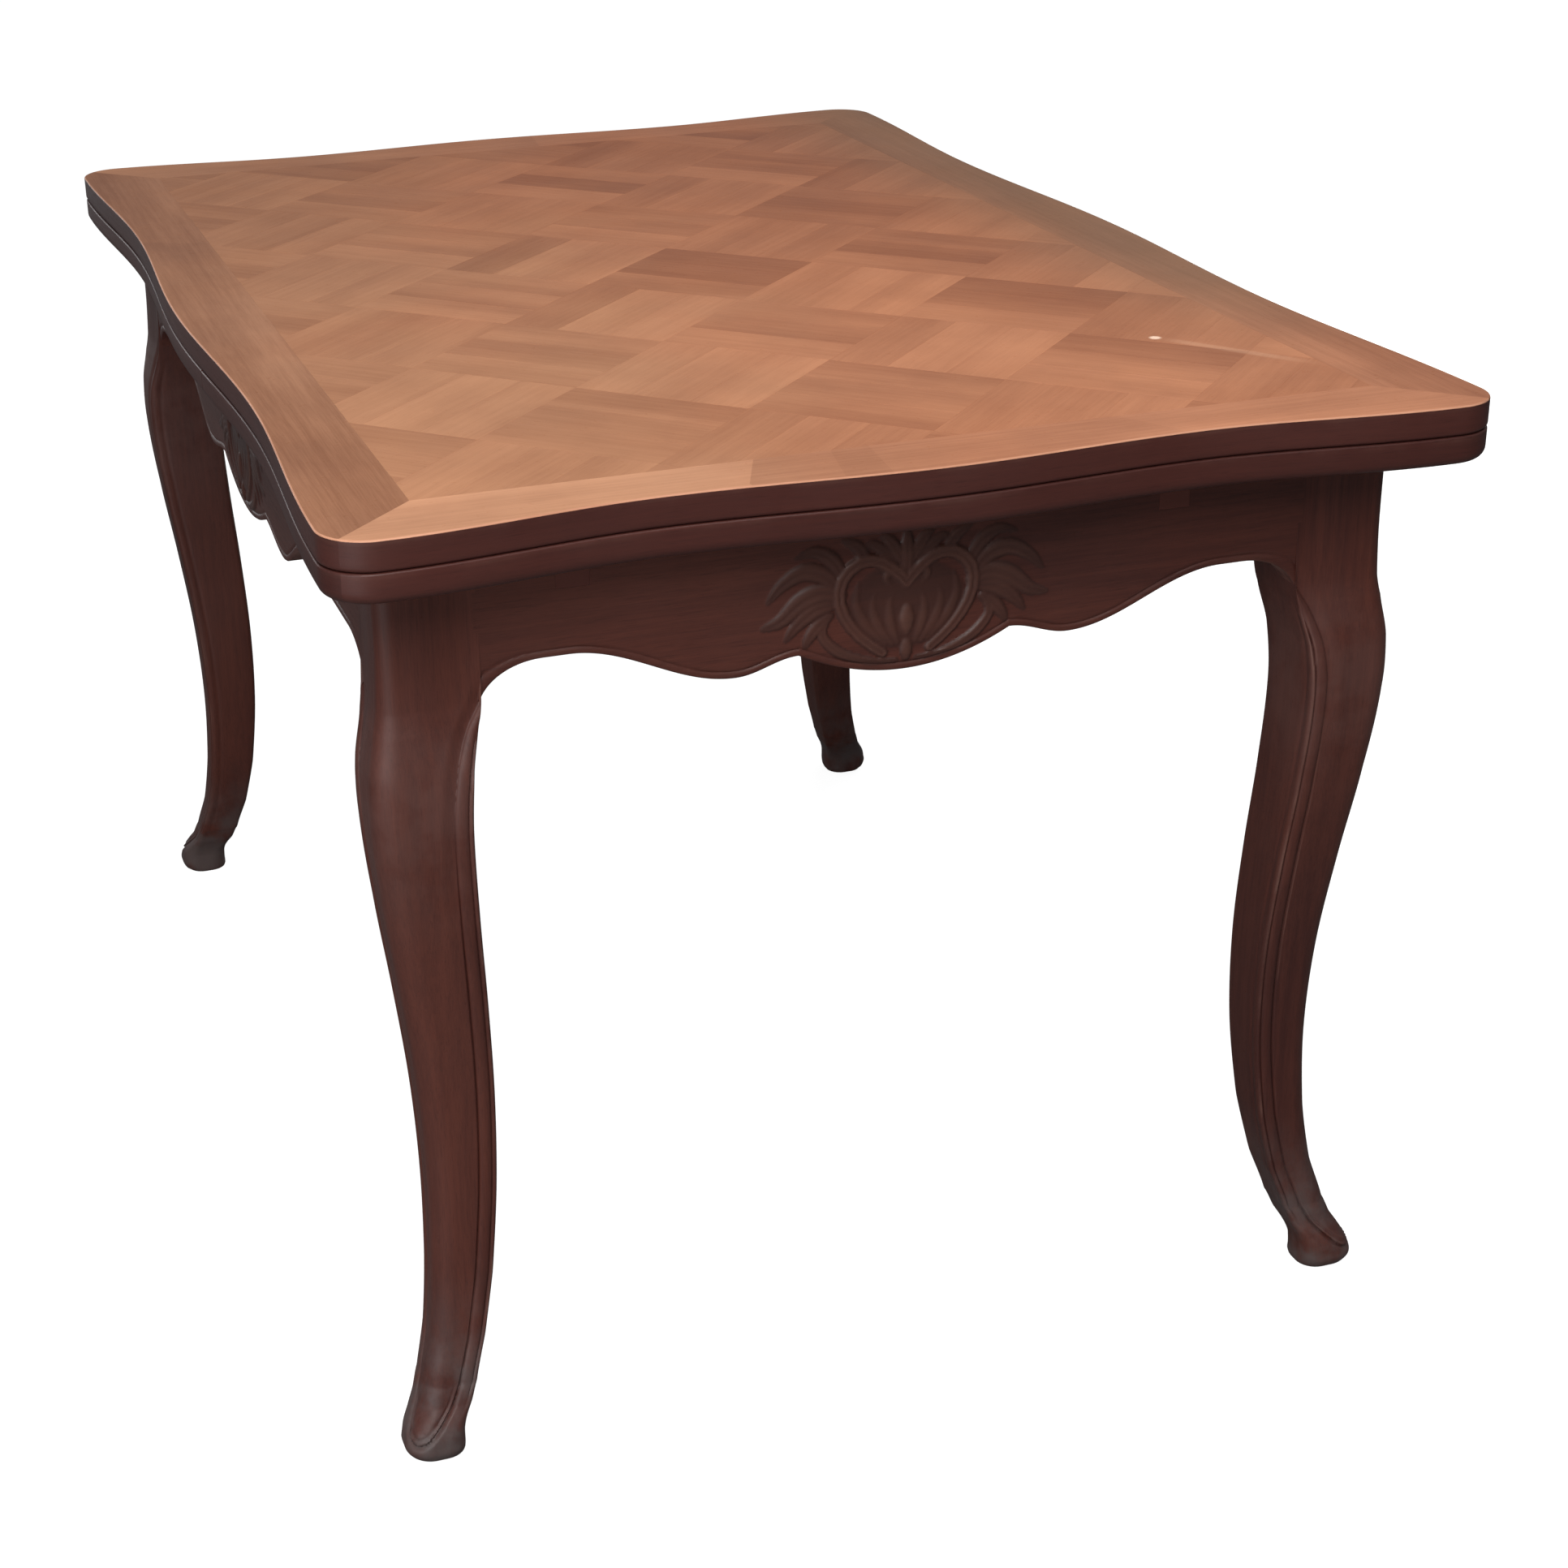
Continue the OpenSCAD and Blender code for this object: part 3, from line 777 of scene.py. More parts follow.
    def build(self, finish: Material, nodes: Sequence[str]) -> Piece:
        """Lay every strip that meets the field.

        Args:
            finish: Material of the field.
            nodes: Nodes that it stands for.

        Returns:
            The new object.
        """
        rng = np.random.default_rng(self.seed)
        reach = int(math.ceil((self.layer.plan.levels.half_l + self.spare) / self.block))
        shells = Shells()
        for i in range(-reach, reach):
            for j in range(-reach, reach):
                block_tone = rng.normal(0, self.block_spread)
                one_way = (i + j) % 2 == 0
                means = self.tones_one_way if one_way else self.tones_other_way
                diagonals = ((1, -1), (1, 1)) if one_way else ((1, 1), (1, -1))
                for number in range(self.strips):
                    tone = means[number] + block_tone + rng.normal(0, self.strip_spread)
                    shift = rng.uniform(0, self.grain_shift, 2)
                    made = self.prism(self.strip(i, j, number))
                    if made is None:
                        continue
                    verts, faces = made
                    grain = np.stack([verts[:, :2] @ way * DIAGONAL for way in diagonals], axis=1) + shift
                    if self.layer.half_turn:
                        verts = turned(verts, Side.LEFT)
                    shells.add(verts, faces, grain, float(np.clip(tone, -self.tone_limit, self.tone_limit)))
        name = f"{self.layer.name}_parquetry"
        return shells.piece(name, [finish], self.layer.body, "parquet_field", nodes)


@dataclass(frozen=True)
class CentreBoard:
    """Fixed board between the leaves: plain wood with an edging lipped on at each end."""

    plan: Serpentine
    gap: float = 0.8 * MM
    lipping: float = 25 * MM
    bottom_round: float = 8 * MM
    top_round: float = 1.5 * MM
    peg_x: float = 110 * MM
    bore_r: float = 9.4 * MM
    screw_mouth_r: float = 5.1 * MM
    screw_mouth_depth: float = 4.2 * MM
    overrun: float = 1 * MM
    bore_sides: int = 48
    columns: int = 64
    rows: int = 24
    sharp_angle: float = 32.0

    @property
    def inner_end(self) -> float:
        """Place across the table where the board ends and its lipping starts."""
        return self.plan.levels.half_w - self.plan.side_scoop - self.lipping

    def edge(self, x: Array) -> Array:
        """Half width of the board at a place across the table."""
        return -(self.plan.leaf_edge(x) + self.gap)

    def slab(self) -> Array:
        """Rings of the plain board, across the table."""
        xs = np.linspace(-self.inner_end, self.inner_end, self.columns + 1)
        low, high = self.plan.levels.board_z, self.plan.levels.top_z
        rings = np.zeros((len(xs), 4, 3))
        for k, (sign, z) in enumerate(((-1, low), (1, low), (1, high), (-1, high))):
            rings[:, k] = np.column_stack([xs, sign * self.edge(xs), np.full(len(xs), z)])
        return rings

    def end_face(self, y: Array) -> Array:
        """Place across the table of the board's shown end."""
        levels = self.plan.levels
        return levels.half_w - self.plan.scoop(y / (levels.half_l - self.plan.corner_r), False)

    def lip(self, sign: int) -> Array:
        """Rings of the edging at one end, along the table.

        Args:
            sign: 1 for the right-hand end, -1 for the left one.

        Returns:
            Array of rings, section points and X, Y, Z.
        """
        levels = self.plan.levels
        low, high, top_r, r = levels.board_z, levels.top_z, self.top_round, self.bottom_round
        shares = np.linspace(-1, 1, self.rows + 1)
        y = shares * float(self.edge(np.array([levels.half_w]))[0])
        section = [(None, low), (None, high), *round_corner((top_r, high - top_r), top_r, 90, 180, 4)]
        section += round_corner((r, low + r), r, 180, 270, 8)
        rings = np.zeros((len(shares), len(section), 3))
        for k, (inset, z) in enumerate(section):
            x = np.full(len(y), self.inner_end) if inset is None else self.end_face(y) - inset
            rings[:, k] = np.column_stack([sign * x, shares * self.edge(x), np.full(len(y), z)])
        return rings

    def bored(self, body: Piece, screws: Sequence[Point]) -> bpy.types.Mesh:
        """The board's mesh with its bores and screw holes.

        Args:
            body: The plain board.
            screws: Plan places of the screws.

        Returns:
            The new mesh.
        """
        levels = self.plan.levels
        tools = [((sign * self.peg_x, 0.0), self.bore_r, levels.board_z - self.overrun) for sign in (-1, 1)]
        tools += [(place, self.screw_mouth_r, levels.top_z - self.screw_mouth_depth) for place in screws]
        drill = bpy.data.meshes.new("drill")
        shaper = bmesh.new()
        for place, radius, low in tools:
            length = levels.top_z + self.overrun - low
            bmesh.ops.create_cone(
                shaper, cap_ends=True, segments=self.bore_sides, radius1=radius, radius2=radius, depth=length,
                matrix=Matrix.Translation((*place, low + length / 2)),
            )
        shaper.to_mesh(drill)
        shaper.free()
        cutter = bpy.data.objects.new("drill", drill)
        bpy.context.collection.objects.link(cutter)
        cut = body.modifiers.new("bores", "BOOLEAN")
        cut.object = cutter
        cut.solver = "EXACT"
        graph = bpy.context.evaluated_depsgraph_get()
        shaped = body.evaluated_get(graph)
        mesh = bpy.data.meshes.new_from_object(shaped, preserve_all_data_layers=True, depsgraph=graph)
        body.modifiers.clear()
        bpy.data.objects.remove(cutter)
        bpy.data.meshes.remove(drill)
        return mesh

    def build(
        self, wood: Material, edging: Material, screws: Sequence[Point]
    ) -> Piece:
        """Make the board with its bores, screw holes and lipped ends.

        Args:
            wood: Finish of the board.
            edging: Finish of its two lipped ends.
            screws: Plan places of the screws.

        Returns:
            The new object.
        """
        board = Shells()
        verts, faces = loft(self.slab())
        board.add(verts, faces, verts[:, :2])
        body = board.piece("centre_board_shaped", [wood, edging], "frame", "inner_wood", ["centre_board"])
        mesh = self.bored(body, screws)
        shaper = bmesh.new()
        shaper.from_mesh(mesh)
        for sign in (-1, 1):
            verts, faces = loft(self.lip(sign))
            points = [shaper.verts.new(place) for place in verts]
            for face in faces:
                shaper.faces.new([points[i] for i in face]).material_index = 1
        bmesh.ops.recalc_face_normals(shaper, faces=shaper.faces)
        shaper.to_mesh(mesh)
        shaper.free()
        mesh.shade_smooth()
        mesh.set_sharp_from_angle(angle=math.radians(self.sharp_angle))
        body.data = mesh
        return body


@dataclass(frozen=True)
class Stroke:
    """One carved stroke: a curve with a width and a height that swell and fade along it.

    Its points are in millimetres from the apron's middle and from the lobe's lowest point.
    """

    points: tuple[Point, ...]
    width: float
    height: float
    groove: float = 0.0
    taper: float = 0.7
    steps: int = 14
    fullest: float = 0.4
    thinnest: float = 0.12
    groove_w: float = 0.28

    def lift(self, side: Array, w: Array) -> Array:
        """Height of the stroke.

        Args:
            side: Distance from the apron's middle, in millimetres.
            w: Height above the lobe's lowest point, in millimetres.

        Returns:
            Height over the ground, in millimetres.
        """
        distance, place, _ = nearest(drawn(self.points, self.steps), side, w)
        swell = 1 - self.taper * np.abs(2 * (place - self.fullest)) ** 1.5 / 1.3
        swell = np.clip(swell, self.thinnest, 1)
        x = np.clip(distance / (self.width * swell), 0, 1)
        shape = np.sqrt(1 - x**2) - self.groove * bell(x, 0.0, self.groove_w)
        return np.where(x < 1, self.height * swell * shape, 0)


@dataclass(frozen=True)
class Carving:
    """Carved shell work in the middle of an apron: a heart-shaped cartouche between leaf sprays."""

    lowered: float = 0.55
    dome_h: float = 2.0
    dome_middle: float = 50.0
    dome_reach: Point = (46.0, 34.0)
    strokes: tuple[Stroke, ...] = (
        # Rim of the cartouche, its inner scroll and the rim below it.
        Stroke(
            ((0, 66), (9, 76), (23, 85), (38, 84), (49, 73), (51, 58), (45, 42), (33, 27), (18, 15)),
            5.2, 5.6, 0.40, 0.25,
        ),
        Stroke(((0, 66), (3, 74), (11, 77), (16, 71), (12, 65)), 3.4, 4.6, 0.2, 0.5),
        Stroke(((60, 48), (64, 35), (54, 22), (40, 14), (24, 9), (8, 8)), 4.2, 4.2, 0.30, 0.5),
        # Leaf sprays beside it.
        Stroke(((50, 62), (64, 66), (80, 61), (95, 49), (108, 45)), 8.0, 4.6, 0.35),
        Stroke(((52, 68), (63, 79), (78, 83), (94, 75), (104, 64)), 7.0, 4.2, 0.35),
        Stroke(((48, 76), (56, 89), (69, 97), (83, 94)), 5.8, 3.6, 0.3),
        Stroke(((56, 56), (69, 54), (82, 45), (91, 34)), 6.6, 4.4, 0.35),
        Stroke(((58, 48), (67, 42), (74, 33), (77, 26)), 5.2, 4.0, 0.3),
        Stroke(((30, 86), (38, 97), (49, 103)), 5.0, 3.2, 0.3),
        # Crest of small leaves above it.
        Stroke(((0, 74), (0, 86), (0, 98), (0, 105)), 5.6, 4.6, 0.2),
        Stroke(((2, 80), (8, 91), (15, 100), (20, 102)), 5.0, 4.0, 0.25),
        Stroke(((8, 84), (17, 91), (26, 97), (33, 96)), 4.4, 3.4, 0.25),
        # Flutes of the shell, its foot and the drop in its middle.
        Stroke(((7, 22), (12, 36), (13, 52), (8, 62)), 4.2, 3.6),
        Stroke(((11, 21), (21, 35), (26, 51), (22, 66)), 4.4, 3.4),
        Stroke(((16, 22), (30, 37), (38, 54), (36, 70)), 4.4, 3.2),
        Stroke(((0, 20), (0, 14), (0, 10)), 5.0, 4.6, taper=0.3),
        Stroke(((0, 46), (0, 37), (0, 29)), 6.2, 6.4, taper=0.45),
    )

    def height(self, u: Array, w: Array) -> Array:
        """Height of the carving; the strokes of the right half are mirrored to the left.

        Args:
            u: Distance along the apron from its middle, in millimetres.
            w: Height above the lobe's lowest point, in millimetres.

        Returns:
            Height over the apron's face, in millimetres.
        """
        side = np.abs(u)
        half_u, half_w = self.dome_reach
        total = self.dome_h * np.sqrt(
            np.clip(1 - (side / half_u) ** 2 - ((w - self.dome_middle) / half_w) ** 2, 0, 1)
        )
        for stroke in self.strokes:
            total = np.maximum(total, stroke.lift(side, w))
        return total * self.lowered


@dataclass(frozen=True)
class ApronEdge:
    """Lobed lower edge of an apron, given by shares of its half span."""

    span: float
    cusp_share: float
    lobe_share: float
    arch_share: float
    arch_h: float = 82 * MM
    cusp_h: float = 107 * MM
    lobe_h: float = 117 * MM
    centre_h: float = 128 * MM
    spandrel_w: float = 44 * MM
    reach: float = 3.4 * MM

    @property
    def stops(self) -> Triple:
        """Places of the cusp, the side lobe and the arch's start."""
        return (self.cusp_share * self.span, self.lobe_share * self.span, self.arch_share * self.span)

    def depth(self, u: Array) -> Array:
        """Depth of the apron below the frame's top.

        Args:
            u: Distance along the apron from its middle.

        Returns:
            Depth at each place.
        """
        u = np.abs(u)
        cusp, lobe, arch = self.stops
        bend = self.span - self.spandrel_w
        middle = self.centre_h - (self.centre_h - self.cusp_h) * (u / cusp) ** 2
        side = self.cusp_h + (self.lobe_h - self.cusp_h) * between(u, (cusp, lobe))
        flank = self.lobe_h + (self.arch_h - self.lobe_h) * between(u, (lobe, arch))
        turn = np.sqrt(np.clip(1 - ((u - bend) / (self.spandrel_w + self.reach)) ** 2, 0, 1))
        spandrel = self.lobe_h - (self.lobe_h - self.arch_h) * turn
        parts = [middle, side, flank, self.arch_h]
        return np.select([u < cusp, u < lobe, u < arch, u < bend], parts, spandrel)


@dataclass(frozen=True)
class Apron:
    """Apron board with a lobed, beaded lower edge and carving in its middle."""

    name: str
    side: Side
    edge: ApronEdge
    face: float
    thickness: float
    top: float
    notches: tuple[Point, ...] = ()
    notch_depth: float = 33.52 * MM
    wall_slant: float = 0.03 * MM
    wall_space: float = 0.5 * MM
    carving: Carving = Carving()
    fine_step: float = 1.3 * MM
    coarse_step: float = 3.0 * MM
    least_step: float = 0.2 * MM
    turn_columns: int = 18
    carved_half: float = 122 * MM
    bead_distances: tuple[float, ...] = (0.0, 0.6, 1.4, 2.4, 3.4, 4.4, 5.2, 6.0, 6.8, 7.8, 9.0)
    bead_w: float = 5.0 * MM
    bead_w_at_leg: float = 7.5 * MM
    bead_depth: float = 1.2 * MM
    groove_w: float = 2 * MM
    relief_from: float = 9 * MM
    upper_rows: int = 82
    slope_limit: float = 1.5
    sharp_angle: float = 40.0

    def columns(self) -> Array:
        """Places along the apron, close together across the carving and at the legs."""
        half, carved = self.edge.span + self.edge.reach, self.carved_half
        middle = np.linspace(-carved, carved, round(2 * carved / self.fine_step) + 1)
        wing = np.linspace(carved, half, round((half - carved) / self.coarse_step) + 1)[1:]
        turn = 1 - np.sin(np.linspace(0, math.pi / 2, self.turn_columns))
        near_leg = half - (self.edge.spandrel_w + self.edge.reach) * turn
        wing = np.concatenate([wing[wing < near_leg[0]], near_leg, self.edge.stops])
        both = np.unique(np.round(np.concatenate([-wing, middle, wing]), 6))
        both = both[np.concatenate([[True], np.diff(both) > self.least_step])]
        slant = self.wall_slant
        walls = [place for low, high in self.notches for place in (low - slant, low, high, high + slant)]
        clear = [u for u in both if all(abs(u - wall) > self.wall_space for wall in walls)]
        return np.sort(np.array(clear + walls))

    def ceiling(self, u: Array) -> Array:
        """Depth below the frame's top at which the board starts: more in the notches for the lopers.

        Args:
            u: Places along the apron.

        Returns:
            Depth at each place.
        """
        notched = np.zeros(u.shape, bool)
        for low, high in self.notches:
            notched |= (u >= low - 1e-9) & (u <= high + 1e-9)
        return np.where(notched, self.notch_depth, 0.0)

    def rows(self, height: Array) -> Array:
        """Distances of the face's rows from the lower edge, close together at the bead.

        Args:
            height: Height of the board at each column.

        Returns:
            Array of rows and columns.
        """
        low = np.array(self.bead_distances)[:, None] * MM
        shares = np.linspace(0, 1, self.upper_rows + 1)[1:, None]
        return np.vstack([np.tile(low, (1, len(height))), low[-1] + shares * (height - low[-1])])

    def bead(self, distance: Array, wide: Array) -> Array:
        """How far the bead and the groove above it sink the face, as a share of their depth.

        Args:
            distance: Distance from the lower edge.
            wide: Distance along the apron from its middle.

        Returns:
            Share at each point.
        """
        near_leg = between(np.abs(wide), (self.edge.span - self.edge.spandrel_w, self.edge.span))
        bead_w = self.bead_w + (self.bead_w_at_leg - self.bead_w) * near_leg
        groove = np.clip(1 - (distance - bead_w) / self.groove_w, 0, 1)
        return np.where(distance < bead_w, 1 - half_round(distance / bead_w), groove)

    @staticmethod
    def faces(n: int, m: int) -> Faces:
        """Faces of a closed board whose front is a grid and whose back has one row of faces.

        Args:
            n: Rows of the front.
            m: Columns of the front.

        Returns:
            Corner numbers of each face.
        """
        faces = [
            [i * m + k, i * m + k + 1, (i + 1) * m + k + 1, (i + 1) * m + k]
            for i in range(n - 1)
            for k in range(m - 1)
        ]
        base, top = n * m, (n - 1) * m
        for k in range(m - 1):
            faces.append([base + k, base + m + k, base + m + k + 1, base + k + 1])
            faces.append([k, base + k, base + k + 1, k + 1])
            faces.append([top + k, top + k + 1, base + m + k + 1, base + m + k])
        faces.append([i * m for i in range(n)] + [base + m, base])
        faces.append([i * m + m - 1 for i in reversed(range(n))] + [base + m - 1, base + 2 * m - 1])
        return faces

    def build(self, finish: Material) -> Piece:
        """Make the board.

        Args:
            finish: Its material.

        Returns:
            The new object.
        """
        u = self.columns()
        depth = self.edge.depth(u)
        rows = self.rows(depth - self.ceiling(u))
        slope = np.clip(np.gradient(depth, u), -self.slope_limit, self.slope_limit)
        distance = rows / np.sqrt(1 + slope**2)
        z = self.top - depth + rows
        wide = np.tile(u, (len(rows), 1))
        relief = self.carving.height(wide / MM, (z - self.top + self.edge.centre_h) / MM) * MM
        relief *= np.clip(distance / self.relief_from, 0, 1)
        out = self.face + relief - self.bead(distance, wide) * self.bead_depth
        front = np.stack([out, wide, z], axis=2).reshape(-1, 3)
        inside = np.full_like(z, self.face - self.thickness)
        back = np.stack([inside, wide, z], axis=2)[[0, -1]].reshape(-1, 3)
        verts = np.concatenate([front, back])
        raised = np.concatenate([relief.ravel(), np.zeros(len(back))])
        shells = Shells()
        shells.add(turned(verts, self.side), self.faces(*z.shape), verts[:, 1:3])
        name = f"{self.name}_carved"
        return shells.piece(name, [finish], "frame", "dark_wood", [self.name], self.sharp_angle, raised)


@dataclass(frozen=True)
class Leg:
    """Cabriole leg with a beaded arris that sweeps over the foot to the toe.

    Spans are heights at which a feature starts and ends.
    """

    name: str
    sign_x: int
    sign_y: int
    leg_h: float
    corner: Point
    post_w: float = 71 * MM
    knee_w: float = 80 * MM
    knee_out: float = 14 * MM
    ridge_share: float = 0.14
    apron_step_x: float = 3 * MM
    apron_step_y: float = 5 * MM
    step_space: float = 0.1 * MM
    step_w: float = 48 * MM
    step_from: float = 3 * MM
    bead_w: float = 9.5 * MM
    groove_depth: float = 2.4 * MM
    groove_w: float = 1.5 * MM
    strip_w: float = 12 * MM
    strip_depth: float = 2.4 * MM
    strip_low_share: float = 0.22
    volute_h: float = 1.5 * MM
    volute_w: float = 1.7 * MM
    volute_flank_h: float = 0.9 * MM
    ridge_w: float = 4.6 * MM
    pad_w: float = 3.2 * MM
    fade_w: float = 1.4 * MM
    inner_groove: float = 0.6 * MM
    inner_groove_w: float = 2.2 * MM
    inner_flush_w: float = 22 * MM
    arris_r: float = 4.6 * MM
    inner_r: float = 5.0 * MM
    sole_r: float = 16.0 * MM
    post_r: float = 0.15 * MM
    fine_points: int = 30
    face_points: int = 26
    back_points: int = 8
    line_steps: int = 130
    foot_span: Point = (20 * MM, 70 * MM)
    sole_span: Point = (6 * MM, 52 * MM)
    shank_span: Point = (24 * MM, 84 * MM)
    knee_span: Point = (380 * MM, 540 * MM)
    flush_span: Point = (540 * MM, 592 * MM)
    groove_end_span: Point = (570 * MM, 596 * MM)
    post_span: Point = (580 * MM, 602 * MM)
    # Share of the height, share of the knee's reach, share of the knee's width, corner share.
    stations: tuple[tuple[float, float, float, float], ...] = (
        (0.000, 1.12, 0.490, 0.30), (0.004, 1.38, 0.545, 0.30), (0.012, 1.56, 0.575, 0.28),
        (0.020, 1.50, 0.565, 0.27), (0.030, 1.36, 0.545, 0.26), (0.042, 1.00, 0.515, 0.25),
        (0.056, 0.54, 0.500, 0.24), (0.076, 0.14, 0.500, 0.23), (0.125, -0.52, 0.520, 0.22),
        (0.195, -0.97, 0.565, 0.21), (0.295, -1.16, 0.620, 0.20), (0.405, -0.94, 0.680, 0.19),
        (0.515, -0.36, 0.745, 0.18), (0.630, 0.37, 0.813, 0.17), (0.725, 0.80, 0.862, 0.15),
        (0.785, 0.74, 0.890, 0.11), (0.828, 0.36, 0.905, 0.08), (0.850, 0.14, 0.900, 0.06),
        (0.905, 0.00, 0.8875, 0.03), (1.000, 0.00, 0.8875, 0.03),
    )
    # The bead's groove on an outward face: millimetres from the inner arris and from the floor.
    line: tuple[Point, ...] = (
        (-4.0, 611.0), (0.0, 604.0), (4.0, 596.0), (7.8, 587.0), (10.8, 573.0), (12.8, 548.0),
        (13.7, 520.0), (13.7, 400.0), (13.7, 200.0), (13.5, 90.0), (13.6, 62.0), (15.0, 44.0),
        (19.5, 31.0), (27.0, 21.5), (35.0, 16.4), (43.0, 14.4), (60.0, 14.0),
    )

    def levels(self) -> Array:
        """Heights of the rings, close together at the foot and the knee."""
        foot = np.arange(0, 76, 1.3)
        shank = np.arange(76, 530, 6.0)
        knee = np.arange(530, 612, 1.8)
        post = np.linspace(612, self.leg_h / MM, 12)
        return np.concatenate([foot, shank, knee, post]) * MM

    @staticmethod
    def arc(centre: Point, radius: float, angles: Array) -> tuple[Array, Array]:
        """Points on an arc and their outward directions."""
        out = np.column_stack([np.cos(angles), np.sin(angles)])
        return np.array(centre) + radius * out, out

    def half_section(
        self, width: float, radius: float, arris_r: float, inner_r: float
    ) -> tuple[Array, Array, Array]:
        """Half of a ring, from the outer corner's middle to the inner corner's middle.

        Args:
            width: Width of the leg here.
            radius: Radius of the outer corner.
            arris_r: Radius of the beaded arris.
            inner_r: Radius of the corner that faces the table's middle.

        Returns:
            Points from the outer corner of the square, their outward directions, and their
            distance from the inner face, or below 0 on that face.
        """
        fine = max(self.bead_w + self.arris_r, arris_r) + self.strip_w * 0.4
        outer = np.concatenate([
            np.linspace(width - radius, fine, self.face_points)[:-1],
            np.linspace(fine, arris_r, self.fine_points)[:-1],
        ])
        close = min(arris_r + self.bead_w * 0.9, width - inner_r - self.bead_w * 0.2)
        inner = np.concatenate([
            np.linspace(arris_r, close, 12)[1:],
            np.linspace(close, width - inner_r, self.back_points)[1:],
        ])
        quarter = math.pi / 4
        parts = [
            self.arc((-radius, -radius), radius, np.linspace(quarter, 2 * quarter, 8)[:-1]),
            (np.column_stack([outer - width, 0 * outer]), np.tile((0.0, 1.0), (len(outer), 1))),
            self.arc((arris_r - width, -arris_r), arris_r, np.linspace(2 * quarter, 4 * quarter, 9)),
            (np.column_stack([0 * inner - width, -inner]), np.tile((-1.0, 0.0), (len(inner), 1))),
            self.arc((inner_r - width, inner_r - width), inner_r, np.linspace(4, 5, 4)[1:] * quarter),
        ]
        on_face = sum(len(points) for points, _ in parts[:3]) - 5
        places = np.vstack([points for points, _ in parts])
        across = np.where(np.arange(len(places)) < on_face, places[:, 0] + width, places[:, 1])
        return places, np.vstack([out for _, out in parts]), across

    def sink(self, across: Array, z: float) -> Array:
        """How far the moulding sinks the surface of an outward face.

        Args:
            across: Distance from the inner face, in metres.
            z: Height, in metres.

        Returns:
            Depth in metres.
        """
        distance, _, left = nearest(drawn(self.line, self.line_steps) * MM, across, np.full(across.shape, z))
        outer = np.where(left, distance, 0)
        inner = np.where(left, 0, distance)
        knee = between(z, self.knee_span)
        foot = 1 - between(z, self.foot_span)
        strip = self.strip_depth * (self.strip_low_share + (1 - self.strip_low_share) * knee)
        strip = strip * (1 - ease(outer / self.strip_w)) * (1 - foot)
        groove = self.groove_depth * (1 + 0.25 * foot) * bell(outer, 0.0, self.groove_w)
        volute = self.volute_h * foot * bell(outer, self.ridge_w, self.volute_w)
        flank = (outer > self.ridge_w) * (1 - ease(outer / (3 * self.ridge_w)))
        volute = np.maximum(volute, self.volute_flank_h * foot * flank)
        fade = bell(inner, self.bead_w, self.fade_w)
        bead = self.groove_depth * np.where(inner < self.bead_w, 1 - half_round(inner / self.bead_w), fade)
        pad = 1.25 * self.groove_depth * np.clip(1 - inner / self.pad_w, 0, 1) ** 2
        inner_sink = bead * (1 - foot) + pad * foot
        return np.where(outer > 0, np.maximum(np.maximum(strip, volute), groove), inner_sink)

    def half(self, z: float, width: float, radius: float, step: float) -> Array:
        """Half of a ring with its mouldings, from the outer corner to the inner one.

        Args:
            z: Height.
            width: Width of the leg here.
            radius: Radius of the outer corner.
            step: How far the apron's face lies behind the leg's.

        Returns:
            Points from the outer corner of the square.
        """
        sole = 1 - float(between(z, self.sole_span))
        post = float(between(z, self.post_span))
        arris_r = self.arris_r + (self.sole_r - self.arris_r) * sole + (self.post_r - self.arris_r) * post
        inner_r = self.inner_r + (self.sole_r - self.inner_r) * sole
        places, outward, across = self.half_section(width, radius, arris_r, inner_r)
        on_face = across > 0
        strength = float(1 - between(z, self.groove_end_span)) * float(between(z, self.shank_span))
        depth = self.inner_groove * bell(across, -self.bead_w, self.inner_groove_w) * strength
        depth[on_face] = self.sink(across[on_face], z)
        moved = places - outward * depth[:, None]
        flush = (step - self.step_space) * float(between(z, self.flush_span))
        on_back = np.clip(1 + across / self.inner_flush_w, 0, 1)
        on_front = 1 - ease((across - self.step_from) / self.step_w)
        moved[:, 1] -= flush * np.where(on_face, on_front, on_back)
        return moved

    def ring(self, z: float, out: float, width: float, radius: float) -> Array:
        """One ring of the leg in the +X +Y corner.

        Args:
            z: Height.
            out: How far the leg stands out here.
            width: Width of the leg here.
            radius: Radius of the outer corner.

        Returns:
            Rows of X, Y, Z.
        """
        half = self.half(z, width, radius, self.apron_step_y)
        other = self.half(z, width, radius, self.apron_step_x)[::-1][:, ::-1]
        ring = np.vstack([half, other[1:-1]])
        return np.column_stack([ring + self.corner + (out, out), np.full(len(ring), z)])

    def build(self, finish: Material) -> Piece:
        """Make the leg.

        Args:
            finish: Its material.

        Returns:
            The new object.
        """
        heights = self.levels()
        rings = []
        for z, row in zip(heights, catmull(np.array(self.stations), heights / self.leg_h)):
            _, out, width, radius = row
            wide = width * self.knee_w
            rings.append(self.ring(float(z), out * self.knee_out, wide, wide * (radius + self.ridge_share)))
        verts, faces = loft(np.array(rings) * (self.sign_x, self.sign_y, 1))
        shells = Shells()
        shells.add(verts, faces, verts[:, [2, 0]])
        return shells.piece(f"{self.name}_shaped", [finish], "frame", "dark_wood", [self.name], 50)


